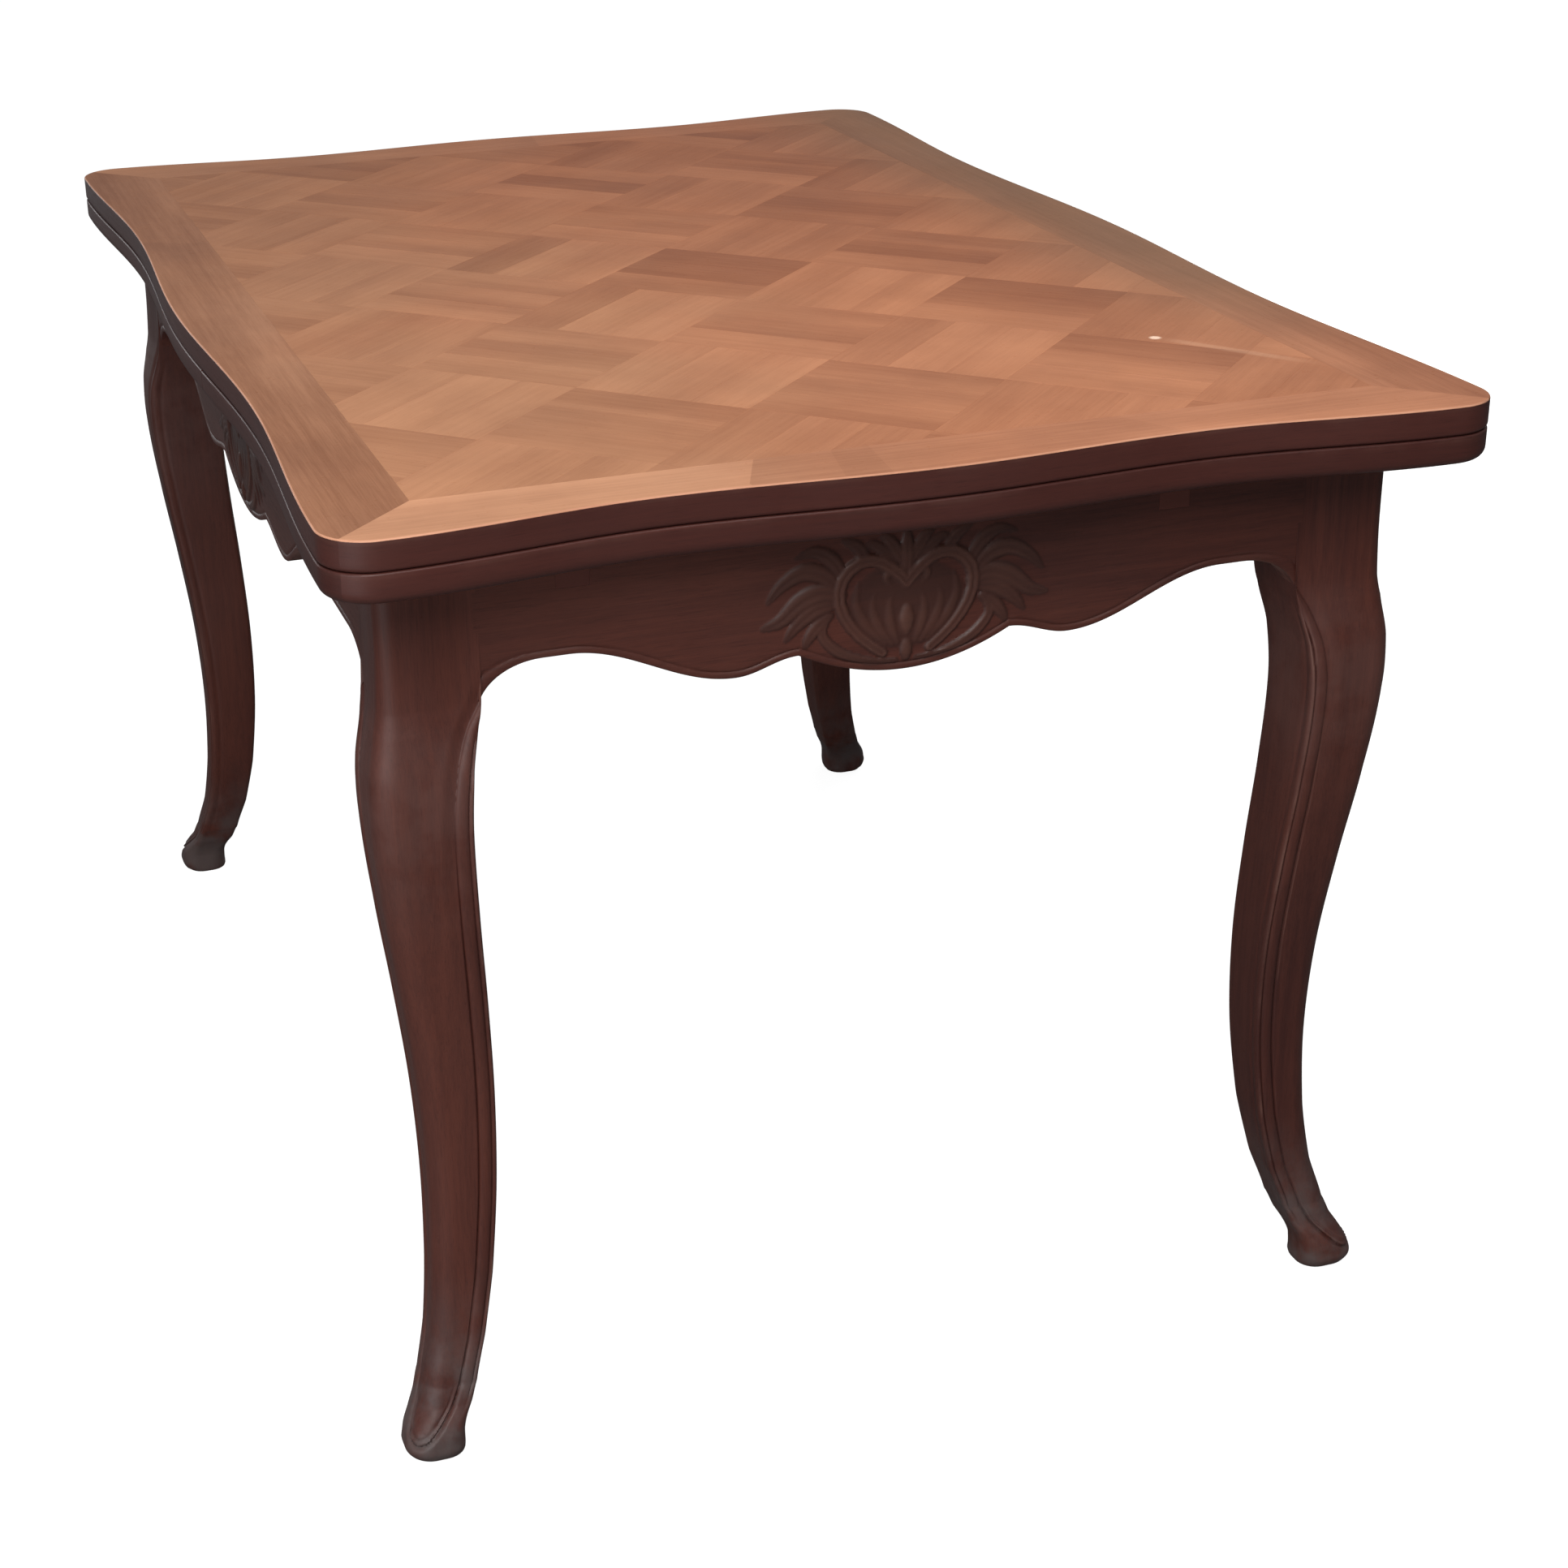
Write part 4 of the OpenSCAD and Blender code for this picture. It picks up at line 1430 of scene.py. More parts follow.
class NodeTree:
    """Short hand for placing and joining shader nodes. A value is a socket, a number or a colour."""

    def __init__(self, tree: Tree) -> None:
        """Keep the tree that takes the nodes."""
        self.tree = tree

    def add(self, kind: str, **values: object) -> bpy.types.Node:
        """Place a node and set its properties.

        Args:
            kind: The node's type.
            **values: Properties by name.

        Returns:
            The new node.
        """
        node = self.tree.nodes.new(kind)
        for name, value in values.items():
            setattr(node, name, value)
        return node

    def feed(self, value: object, socket: Socket) -> None:
        """Give a socket a value, or join it to the socket that holds one.

        Args:
            value: The value.
            socket: The input that takes it.
        """
        if isinstance(value, Socket):
            self.tree.links.new(value, socket)
        else:
            socket.default_value = value

    def math(self, operation: str, a: object, b: object = 0.0, clamp: bool = False) -> Socket:
        """Arithmetic on two values.

        Args:
            operation: Name of the operation.
            a: First value.
            b: Second value.
            clamp: Whether the result is held between 0 and 1.

        Returns:
            The result's socket.
        """
        node = self.add("ShaderNodeMath", operation=operation, use_clamp=clamp)
        for socket, value in zip(node.inputs, (a, b)):
            self.feed(value, socket)
        return node.outputs[0]

    def plus(self, a: object, b: object, clamp: bool = False) -> Socket:
        """Sum of two values."""
        return self.math("ADD", a, b, clamp)

    def times(self, a: object, b: object, clamp: bool = False) -> Socket:
        """Product of two values."""
        return self.math("MULTIPLY", a, b, clamp)

    def rest(self, a: object) -> Socket:
        """What a value lacks to 1."""
        return self.math("SUBTRACT", 1.0, a)

    def mix(self, factor: object, a: object, b: object, blend: str = "MIX") -> Socket:
        """Mix two colours.

        Args:
            factor: Share of the second colour.
            a: First colour.
            b: Second colour.
            blend: How they are mixed.

        Returns:
            The result's socket.
        """
        node = self.add("ShaderNodeMix", data_type="RGBA", blend_type=blend, clamp_factor=True)
        self.feed(factor, node.inputs[0])
        for value, socket in ((a, node.inputs[6]), (b, node.inputs[7])):
            self.feed((*value, 1.0) if isinstance(value, tuple) else value, socket)
        return node.outputs[2]

    def tint(self, factor: object, colour: object, tint: Triple) -> Socket:
        """Multiply a colour by a tint, by a share."""
        return self.mix(factor, colour, self.mix(1.0, colour, tint, "MULTIPLY"))

    def blend(self, factor: object, a: object, b: object) -> Socket:
        """Mix two shaders.

        Args:
            factor: Share of the second one.
            a: First shader.
            b: Second shader.

        Returns:
            The result's socket.
        """
        node = self.add("ShaderNodeMixShader")
        for socket, value in zip(node.inputs, (factor, a, b)):
            self.feed(value, socket)
        return node.outputs[0]

    def noise(self, vector: object, scale: float, detail: float = 4.0, rough: float = 0.55) -> Socket:
        """Noise from 0 to 1.

        Args:
            vector: Where it is read.
            scale: Its scale.
            detail: How many finer layers it has.
            rough: How strong those are.

        Returns:
            The value's socket.
        """
        node = self.add("ShaderNodeTexNoise")
        for label, value in (("Vector", vector), ("Scale", scale), ("Detail", detail), ("Roughness", rough)):
            self.feed(value, node.inputs[label])
        return node.outputs["Fac"]

    def ramp(self, value: Socket, low: float, high: float) -> Socket:
        """Spread a value so that low becomes 0 and high becomes 1, with soft ends.

        Args:
            value: The value.
            low: What becomes 0.
            high: What becomes 1.

        Returns:
            The result's socket.
        """
        node = self.add("ShaderNodeMapRange", interpolation_type="SMOOTHSTEP")
        for label, given in (("Value", value), ("From Min", low), ("From Max", high)):
            self.feed(given, node.inputs[label])
        return node.outputs["Result"]

    def place(self) -> Socket:
        """Place on the table."""
        return self.add("ShaderNodeTexCoord").outputs["Object"]

    def parts(self, vector: Socket) -> bpy.types.NodeOutputs:
        """X, Y and Z of a vector.

        Args:
            vector: The vector.

        Returns:
            Its parts.
        """
        node = self.add("ShaderNodeSeparateXYZ")
        self.feed(vector, node.inputs[0])
        return node.outputs

    def attribute(self, name: str) -> Socket:
        """A value that the mesh carries."""
        return self.add("ShaderNodeAttribute", attribute_type="GEOMETRY", attribute_name=name).outputs["Fac"]

    def group(self, tree: Tree, **values: object) -> bpy.types.NodeOutputs:
        """Place a shared group.

        Args:
            tree: The group.
            **values: Its inputs by name.

        Returns:
            Its outputs.
        """
        node = self.add("ShaderNodeGroup", node_tree=tree)
        for label, value in values.items():
            self.feed(value, node.inputs[label])
        return node.outputs


class Effect:
    """A shader group in the making: a vector and one value go in, and masks come out."""

    def __init__(self, name: str, amount: str) -> None:
        """Begin the group.

        Args:
            name: Its name.
            amount: Name of its value input.
        """
        self.tree = bpy.data.node_groups.new(name, "ShaderNodeTree")
        self.tree.interface.new_socket("Vector", in_out="INPUT", socket_type="NodeSocketVector")
        self.tree.interface.new_socket(amount, in_out="INPUT", socket_type="NodeSocketFloat")
        self.kit = NodeTree(self.tree)
        source = self.kit.add("NodeGroupInput")
        self.vector = source.outputs["Vector"]
        self.amount = source.outputs[amount]

    def finish(self, **values: Socket) -> Tree:
        """Join the outputs.

        Args:
            **values: The outputs by name.

        Returns:
            The finished group.
        """
        for label in values:
            self.tree.interface.new_socket(label, in_out="OUTPUT", socket_type="NodeSocketFloat")
        sink = self.kit.add("NodeGroupOutput")
        for label, value in values.items():
            self.kit.feed(value, sink.inputs[label])
        return self.tree


@cache
def wood_grain() -> Tree:
    """Grain of wood: slow figure, fine streaks and short pores, along the vector's X."""
    effect = Effect("wood_grain", "Coarseness")
    kit = effect.kit
    scaled = kit.add("ShaderNodeVectorMath", operation="SCALE")
    kit.feed(effect.vector, scaled.inputs[0])
    kit.feed(effect.amount, scaled.inputs["Scale"])

    def layer(along: float, across: float, detail: float, rough: float) -> Socket:
        """Noise drawn out along the grain.

        Args:
            along: Its scale along the grain.
            across: Its scale across the grain.
            detail: How many finer layers it has.
            rough: How strong those are.

        Returns:
            The value's socket.
        """
        node = kit.add("ShaderNodeVectorMath", operation="MULTIPLY")
        kit.feed(scaled.outputs[0], node.inputs[0])
        kit.feed((along, across, across), node.inputs[1])
        return kit.noise(node.outputs[0], 1.0, detail, rough)

    streaks = kit.times(layer(6.0, 190.0, 5.0, 0.6), 0.65)
    streaks = kit.plus(streaks, kit.times(layer(30.0, 900.0, 2.0, 0.5), 0.35))
    pores = kit.ramp(layer(55.0, 1500.0, 1.0, 0.4), 0.60, 0.72)
    height = kit.math("SUBTRACT", streaks, kit.times(pores, 0.6))
    return effect.finish(Figure=layer(1.6, 11.0, 3.0, 0.5), Streaks=streaks, Pores=pores, Height=height)


@cache
def edge_wear() -> Tree:
    """Rubbed edges that also carry a painted highlight on ridges, and darkened concave creases that are
    painted shade with dirt, from how sharply the surface turns.
    """
    effect = Effect("edge_wear", "Reach")
    kit = effect.kit
    point = kit.add("ShaderNodeNewGeometry").outputs["Pointiness"]
    patches = kit.ramp(kit.noise(effect.vector, 14.0, 5.0, 0.6), 0.42, 0.68)
    # Paler convex edges: rubbed wear, with a painted highlight on ridges.
    rubbed = kit.times(kit.times(kit.ramp(point, 0.505, 0.56), patches), effect.amount, True)
    # Darker concave creases: painted crease shade, with dirt.
    hollow = kit.times(kit.rest(kit.ramp(point, 0.43, 0.495)), effect.amount, True)
    return effect.finish(Rubbed=rubbed, Hollow=hollow)


@cache
def handling() -> Tree:
    """Uneven polish from years of wiping: broad smears and small dull spots."""
    effect = Effect("handling", "Amount")
    kit = effect.kit
    smear = kit.ramp(kit.noise(effect.vector, 7.0, 4.0, 0.55), 0.35, 0.7)
    dust = kit.ramp(kit.noise(effect.vector, 260.0, 2.0, 0.5), 0.62, 0.8)
    smear, dust = (kit.times(mask, effect.amount, True) for mask in (smear, dust))
    return effect.finish(Smear=smear, Dust=dust)


@dataclass(frozen=True)
class WoodFinish:
    """A wood with its stain and varnish."""

    name: str
    dark: Triple
    light: Triple
    # Colour of rubbed edges, which also paints highlights on ridges.
    worn: Triple
    grain: Grain
    roughness: float
    coat: float
    coat_roughness: float
    figure: float = 0.5
    streaks: float = 0.5
    pores: float = 0.4
    coarseness: float = 1.0
    # Reach of the edge masks: rubbed wear with painted highlight, and painted crease shade with dirt.
    wear: float = 0.5
    # Strength of the paler rubbed edges with their painted highlight.
    rubbed: float = 0.6
    tone_step: float = 0.0
    relief_dark: float = 0.0
    bump: float = 0.12
    bump_h: float = 0.3 * MM
    specular: float = 0.5
    # Strength of the painted crease shade with dirt.
    hollow: float = 0.6
    pore_shade: float = 0.35
    # Darkness of the painted crease shade with dirt, against the dark colour.
    hollow_shade: float = 0.3
    smear_rough: float = 0.10
    streak_rough: float = -0.04
    dust_rough: float = 0.18
    patina_low: Triple = (0.023, 0.0092, 0.0072)
    patina_high: Triple = (0.066, 0.0290, 0.0205)

    def grain_vector(self, kit: NodeTree) -> Socket:
        """Vector whose X runs along the grain.

        Args:
            kit: The material's nodes.

        Returns:
            The vector's socket.
        """
        if self.grain is Grain.MAPPED:
            return kit.add("ShaderNodeUVMap", uv_map=GRAIN_MAP).outputs[0]
        parts = kit.parts(kit.place())
        order = {Grain.ALONG_X: (0, 1, 2), Grain.ALONG_Y: (1, 0, 2), Grain.ALONG_Z: (2, 0, 1)}[self.grain]
        joined = kit.add("ShaderNodeCombineXYZ")
        for target, number in enumerate(order):
            kit.feed(parts[number], joined.inputs[target])
        return joined.outputs[0]

    def tone_strength(self, kit: NodeTree) -> object:
        """How strongly the pieces' own tones show; everywhere alike on most finishes."""
        return 1.0

    def extra(self, kit: NodeTree, colour: Socket) -> Socket:
        """Marks that only this finish has; plain woods have none."""
        return colour

    def share(self, kit: NodeTree, figure: object, streak: object) -> Socket:
        """Share of the light colour: the wood's figure and streaks with the piece's own tone.

        Args:
            kit: The material's nodes.
            figure: Slow figure from 0 to 1.
            streak: Fine streaks from 0 to 1.

        Returns:
            The value's socket.
        """
        share = kit.plus(kit.times(figure, self.figure), kit.times(streak, self.streaks))
        if self.tone_step:
            step = kit.times(kit.attribute(TONE), self.tone_step)
            share = kit.plus(share, kit.times(step, self.tone_strength(kit)))
        return kit.plus(share, 0.5 - (self.figure + self.streaks) / 2, True)

    def antiqued(self, kit: NodeTree, colour: Socket) -> Socket:
        """Dark patina on the ground of a carving, paler where it stands out.

        Args:
            kit: The material's nodes.
            colour: The wood's colour.

        Returns:
            The new colour.
        """
        relief = kit.attribute(RELIEF)
        raised = kit.ramp(relief, 0.2 * MM, 3 * MM)
        ground = kit.times(kit.ramp(relief, -0.1 * MM, 0.5 * MM), self.relief_dark)
        return kit.mix(ground, colour, kit.mix(raised, self.patina_low, self.patina_high))

    @cache
    def material(self) -> Material:
        """The finish as a material, built once."""
        material = bpy.data.materials.new(self.name)
        material.use_nodes = True
        kit = NodeTree(material.node_tree)
        shader = material.node_tree.nodes["Principled BSDF"]
        place = kit.place()
        grain = kit.group(wood_grain(), Vector=self.grain_vector(kit), Coarseness=self.coarseness)
        wear = kit.group(edge_wear(), Vector=place, Reach=self.wear)
        hands = kit.group(handling(), Vector=place, Amount=1.0)
        streak = kit.ramp(grain["Streaks"], 0.34, 0.66)
        share = self.share(kit, kit.ramp(grain["Figure"], 0.3, 0.7), streak)
        colour = kit.mix(share, self.dark, self.light)
        pore = tuple(self.pore_shade * c for c in self.dark)
        deep = tuple(self.hollow_shade * c for c in self.dark)
        colour = kit.mix(kit.times(grain["Pores"], self.pores), colour, pore)
        # Painted crease shade, with dirt, in concave creases.
        colour = kit.mix(kit.times(wear["Hollow"], self.hollow), colour, deep)
        if self.relief_dark:
            colour = self.antiqued(kit, colour)
        # Paler rubbed edges, with a painted highlight on ridges.
        colour = kit.mix(kit.times(wear["Rubbed"], self.rubbed), colour, self.worn)
        rough = kit.plus(self.roughness, kit.times(hands["Smear"], self.smear_rough))
        rough = kit.plus(rough, kit.times(streak, self.streak_rough))
        rough = kit.plus(rough, kit.times(hands["Dust"], self.dust_rough), True)
        bump = kit.add("ShaderNodeBump")
        for label, value in (("Strength", self.bump), ("Distance", self.bump_h), ("Height", grain["Height"])):
            kit.feed(value, bump.inputs[label])
        for label, value in (
            ("Base Color", self.extra(kit, colour)), ("Roughness", rough), ("Normal", bump.outputs[0]),
            ("Specular IOR Level", self.specular), ("Coat Weight", self.coat),
            ("Coat Roughness", self.coat_roughness),
        ):
            kit.feed(value, shader.inputs[label])
        return material


@dataclass(frozen=True)
class SunFaded(WoodFinish):
    """Veneer of the loose top with painted light: a painted grey reflection over the left, painted shade,
    darker and redder, towards the far right, and a grey-olive veil over the right-hand side.
    """

    # Tints of painted light: a grey reflection over the left and shade towards the far right.
    bleached: Triple = (0.92, 1.06, 1.12)
    reddened: Triple = (0.86, 0.79, 0.74)
    hazed: Triple = (0.182, 0.110, 0.062)
    cloud: Triple = (0.80, 0.76, 0.74)
    bleach_span: Point = (-330 * MM, 120 * MM)
    red_span: Point = (-420 * MM, 420 * MM)
    haze_span: Point = (255 * MM, 420 * MM)
    haze_span_y: Point = (-520 * MM, -180 * MM)
    haze: float = 0.0
    # How far the painted reflection weakens the strips' tones.
    fade: float = 0.6

    def bleach(self, kit: NodeTree) -> Socket:
        """How strongly the painted reflection veils the veneer, with an uneven border.

        Args:
            kit: The material's nodes.

        Returns:
            The share's socket.
        """
        place = kit.place()
        cloud = kit.times(kit.math("SUBTRACT", kit.noise(place, 4.0, 3.0, 0.5), 0.5), 0.7)
        return kit.rest(kit.ramp(kit.plus(kit.parts(place)[0], cloud), *self.bleach_span))

    def tone_strength(self, kit: NodeTree) -> object:
        """The strips' tones are weaker under the painted reflection."""
        return kit.rest(kit.times(self.bleach(kit), self.fade))

    def extra(self, kit: NodeTree, colour: Socket) -> Socket:
        """Tint the veneer by its place: blotches of tone, the painted reflection, the painted shade and the
        grey-olive veil.

        Args:
            kit: The material's nodes.
            colour: The wood's colour.

        Returns:
            The new colour.
        """
        place = kit.place()
        x, y, _ = kit.parts(place)
        patches = kit.times(kit.ramp(kit.noise(place, 9.0, 4.0, 0.6), 0.35, 0.7), 0.55)
        colour = kit.tint(patches, colour, self.cloud)
        # Painted reflection over the left, then painted shade towards the far right.
        colour = kit.tint(self.bleach(kit), colour, self.bleached)
        far = kit.ramp(kit.plus(y, kit.times(x, 0.6)), *self.red_span)
        colour = kit.tint(far, colour, self.reddened)
        haze = kit.times(kit.times(kit.ramp(x, *self.haze_span), self.haze), kit.ramp(y, *self.haze_span_y))
        return kit.mix(haze, colour, self.hazed)


@dataclass(frozen=True)
class ScarredParquetry(SunFaded):
    """Parquetry of the loose top, with a chip near one corner and a pale scuff beside it."""

    chip: Point = (274 * MM, -377 * MM)
    chip_r: float = 6 * MM
    chip_colour: Triple = (0.92, 0.66, 0.50)
    chip_strength: float = 0.85
    scuff_end: Point = (357 * MM, -497 * MM)
    scuff_w: float = 7 * MM
    scuff_start: float = 30 * MM
    scuff_colour: Triple = (0.62, 0.34, 0.21)
    scuff_strength: float = 0.30

    def extra(self, kit: NodeTree, colour: Socket) -> Socket:
        """Add the chip and the scuff to the fading.

        Args:
            kit: The material's nodes.
            colour: The wood's colour.

        Returns:
            The new colour.
        """
        colour = super().extra(kit, colour)
        x, y, _ = kit.parts(kit.place())
        dx = kit.math("SUBTRACT", x, self.chip[0])
        dy = kit.math("SUBTRACT", y, self.chip[1])
        run = Vector(self.scuff_end) - Vector(self.chip)
        unit = run.normalized()
        along = kit.plus(kit.times(dx, unit.x), kit.times(dy, unit.y))
        across = kit.math("SUBTRACT", kit.times(dx, unit.y), kit.times(dy, unit.x))
        fading = kit.rest(kit.ramp(along, run.length * 0.6, run.length))
        reach = kit.times(kit.ramp(along, 0.0, self.scuff_start), fading)
        wide = kit.rest(kit.ramp(kit.math("ABSOLUTE", across), self.scuff_w * 0.3, self.scuff_w))
        scuff = kit.times(kit.times(reach, wide), self.scuff_strength)
        colour = kit.mix(scuff, colour, self.scuff_colour)
        distance = kit.math("SQRT", kit.plus(kit.times(dx, dx), kit.times(dy, dy)))
        chip = kit.rest(kit.ramp(distance, self.chip_r * 0.4, self.chip_r))
        return kit.mix(kit.times(chip, self.chip_strength), colour, self.chip_colour)


@dataclass(frozen=True)
class LoperWood(WoodFinish):
    """Plain wood of a loper, stained where its end shows, paler than the apron to offset the shade the end
    sits in.
    """

    stain_span: Point = (541.9 * MM, 542.3 * MM)
    # Stain lightened to offset the shade under the edging.
    stain: Triple = (0.074, 0.0205, 0.0145)

    def extra(self, kit: NodeTree, colour: Socket) -> Socket:
        """Add the stained end, made paler against its shade."""
        y = kit.parts(kit.place())[1]
        return kit.mix(kit.ramp(kit.math("ABSOLUTE", y), *self.stain_span), colour, self.stain)


@dataclass(frozen=True)
class RubbedLeg(WoodFinish):
    """Stained wood of a leg: greyed by dust and shoes at the foot, with a painted grey sheen at the knee."""

    foot_span: Point = (15 * MM, 150 * MM)
    foot_grey: Triple = (0.072, 0.060, 0.058)
    foot_strength: float = 0.75
    # Painted highlight: a grey sheen in patches at the knee.
    bloom_rise: Point = (400 * MM, 535 * MM)
    bloom_fall: Point = (535 * MM, 625 * MM)
    bloom: Triple = (0.125, 0.072, 0.064)
    bloom_strength: float = 0.20

    def extra(self, kit: NodeTree, colour: Socket) -> Socket:
        """Add the greyed foot and the painted sheen at the knee.

        Args:
            kit: The material's nodes.
            colour: The wood's colour.

        Returns:
            The new colour.
        """
        place = kit.place()
        z = kit.parts(place)[2]
        patches = kit.ramp(kit.noise(place, 26.0, 4.0, 0.6), 0.30, 0.62)
        foot = kit.times(kit.rest(kit.ramp(z, *self.foot_span)), patches)
        colour = kit.mix(kit.times(foot, self.foot_strength), colour, self.foot_grey)
        # Painted grey sheen at the knee.
        knee = kit.times(kit.ramp(z, *self.bloom_rise), kit.rest(kit.ramp(z, *self.bloom_fall)))
        return kit.mix(kit.times(kit.times(knee, patches), self.bloom_strength), colour, self.bloom)


@dataclass(frozen=True)
class SteelFinish:
    """Zinc-bright steel of the wood screws."""

    name: str = "screw_steel"
    clean: Triple = (0.62, 0.62, 0.60)
    dull: Triple = (0.30, 0.28, 0.25)
    roughness: float = 0.28
    tarnish_rough: float = 0.3

    @cache
    def material(self) -> Material:
        """The finish as a material, built once."""
        material = bpy.data.materials.new(self.name)
        material.use_nodes = True
        kit = NodeTree(material.node_tree)
        shader = material.node_tree.nodes["Principled BSDF"]
        tarnish = kit.ramp(kit.noise(kit.place(), 320.0, 4.0, 0.6), 0.42, 0.68)
        kit.feed(kit.mix(tarnish, self.clean, self.dull), shader.inputs["Base Color"])
        kit.feed(kit.plus(self.roughness, kit.times(tarnish, self.tarnish_rough)), shader.inputs["Roughness"])
        kit.feed(1.0, shader.inputs["Metallic"])
        return material


VENEER = dict(
    grain=Grain.MAPPED, roughness=0.44, coat=0.05, coat_roughness=0.28, specular=0.24, pores=0.10, wear=0.0,
    bump=0.04,
)
FIELD = dict(
    dark=(0.240, 0.078, 0.032), light=(0.560, 0.238, 0.118), worn=(0.60, 0.34, 0.20),
    figure=0.32, streaks=0.12, tone_step=0.155, **VENEER,
)
BANDING = dict(
    dark=(0.235, 0.082, 0.036), light=(0.690, 0.305, 0.162), worn=(0.74, 0.44, 0.32),
    figure=0.28, streaks=0.14, tone_step=0.30, **VENEER,
)


@dataclass(frozen=True)
class Palette:
    """The table's finishes."""

    stained: WoodFinish = WoodFinish(
        name="stained_mapped", dark=(0.034, 0.0086, 0.0066), light=(0.082, 0.0225, 0.0145),
        worn=(0.24, 0.135, 0.105), grain=Grain.MAPPED, roughness=0.50, coat=0.05, coat_roughness=0.32,
        specular=0.30, wear=0.6, figure=0.65, streaks=0.35, pores=0.25,
    )
    edging: WoodFinish = WoodFinish(
        name="stained_edging", dark=(0.030, 0.0078, 0.0062), light=(0.062, 0.0172, 0.0130),
        worn=(0.20, 0.105, 0.080), grain=Grain.MAPPED, roughness=0.44, coat=0.05, coat_roughness=0.28,
        specular=0.27, wear=0.15, tone_step=0.25, figure=0.45, streaks=0.25, pores=0.25,
    )
    # Pale rubbed veneer on the near arris, with a painted highlight.
    rubbed: WoodFinish = WoodFinish(
        name="rubbed_arris", dark=(0.34, 0.150, 0.085), light=(0.56, 0.29, 0.185), worn=(0.74, 0.44, 0.32),
        grain=Grain.MAPPED, roughness=0.48, coat=0.03, coat_roughness=0.30, specular=0.24, wear=0.0,
        figure=0.7, streaks=0.3, pores=0.1,
    )
    top_field: WoodFinish = ScarredParquetry("parquetry_top", haze=0.55, **FIELD)
    leaf_field: WoodFinish = WoodFinish("parquetry_leaf", **FIELD)
    top_banding: WoodFinish = SunFaded("banding_top", haze=0.62, fade=0.0, **BANDING)
    leaf_banding: WoodFinish = WoodFinish("banding_leaf", **BANDING)
    carved_relief: float = 0.6
    # Strength of the painted crease shade with dirt on the carved aprons.
    carved_hollow: float = 0.35

    def carved_along(self, grain: Grain) -> Material:
        """Dark stained wood of a carved apron, with its grain along an axis."""
        values = dict(name=f"stained_{grain.value}_carved", relief_dark=self.carved_relief)
        return replace(self.stained, grain=grain, hollow=self.carved_hollow, **values).material()

    def leg_finish(self) -> Material:
        """Dark stained wood of the legs, dusty and rubbed at the feet, with a painted sheen at the knee."""
        return RubbedLeg(**{**vars(self.stained), "name": "stained_leg", "grain": Grain.ALONG_Z}).material()

    def inner_along(self, grain: Grain, kind: type[WoodFinish] = WoodFinish) -> Material:
        """Plain beech inside the table.

        Args:
            grain: Where its grain runs.
            kind: Class of the finish.

        Returns:
            The material.
        """
        finish = kind(
            name=f"beech_{kind.__name__.lower()}_{grain.value}", dark=(0.30, 0.17, 0.085),
            light=(0.50, 0.33, 0.18), worn=(0.55, 0.40, 0.25), grain=grain, roughness=0.62, coat=0.0,
            coat_roughness=0.3, specular=0.28, wear=0.3, figure=0.45, streaks=0.5, pores=0.5,
        )
        return finish.material()


@dataclass(frozen=True)
class SoftBox:
    """One soft light: its size in metres, its power in watts and what it points at."""

    name: str
    place: Triple
    size: Point
    power: float
    target: Triple = (0.0, 0.0, 0.5)
    tint: Triple = (1.0, 0.99, 0.97)

    def build(self) -> None:
        """Hang the light, unseen by the camera."""
        data = bpy.data.lights.new(self.name, "AREA")
        data.shape = "RECTANGLE"
        data.size, data.size_y = self.size
        data.energy = self.power
        data.color = self.tint
        lamp = bpy.data.objects.new(self.name, data)
        lamp.location = self.place
        lamp.visible_camera = False
        lamp.rotation_euler = (Vector(self.target) - Vector(self.place)).to_track_quat("-Z", "Y").to_euler()
        bpy.context.collection.objects.link(lamp)


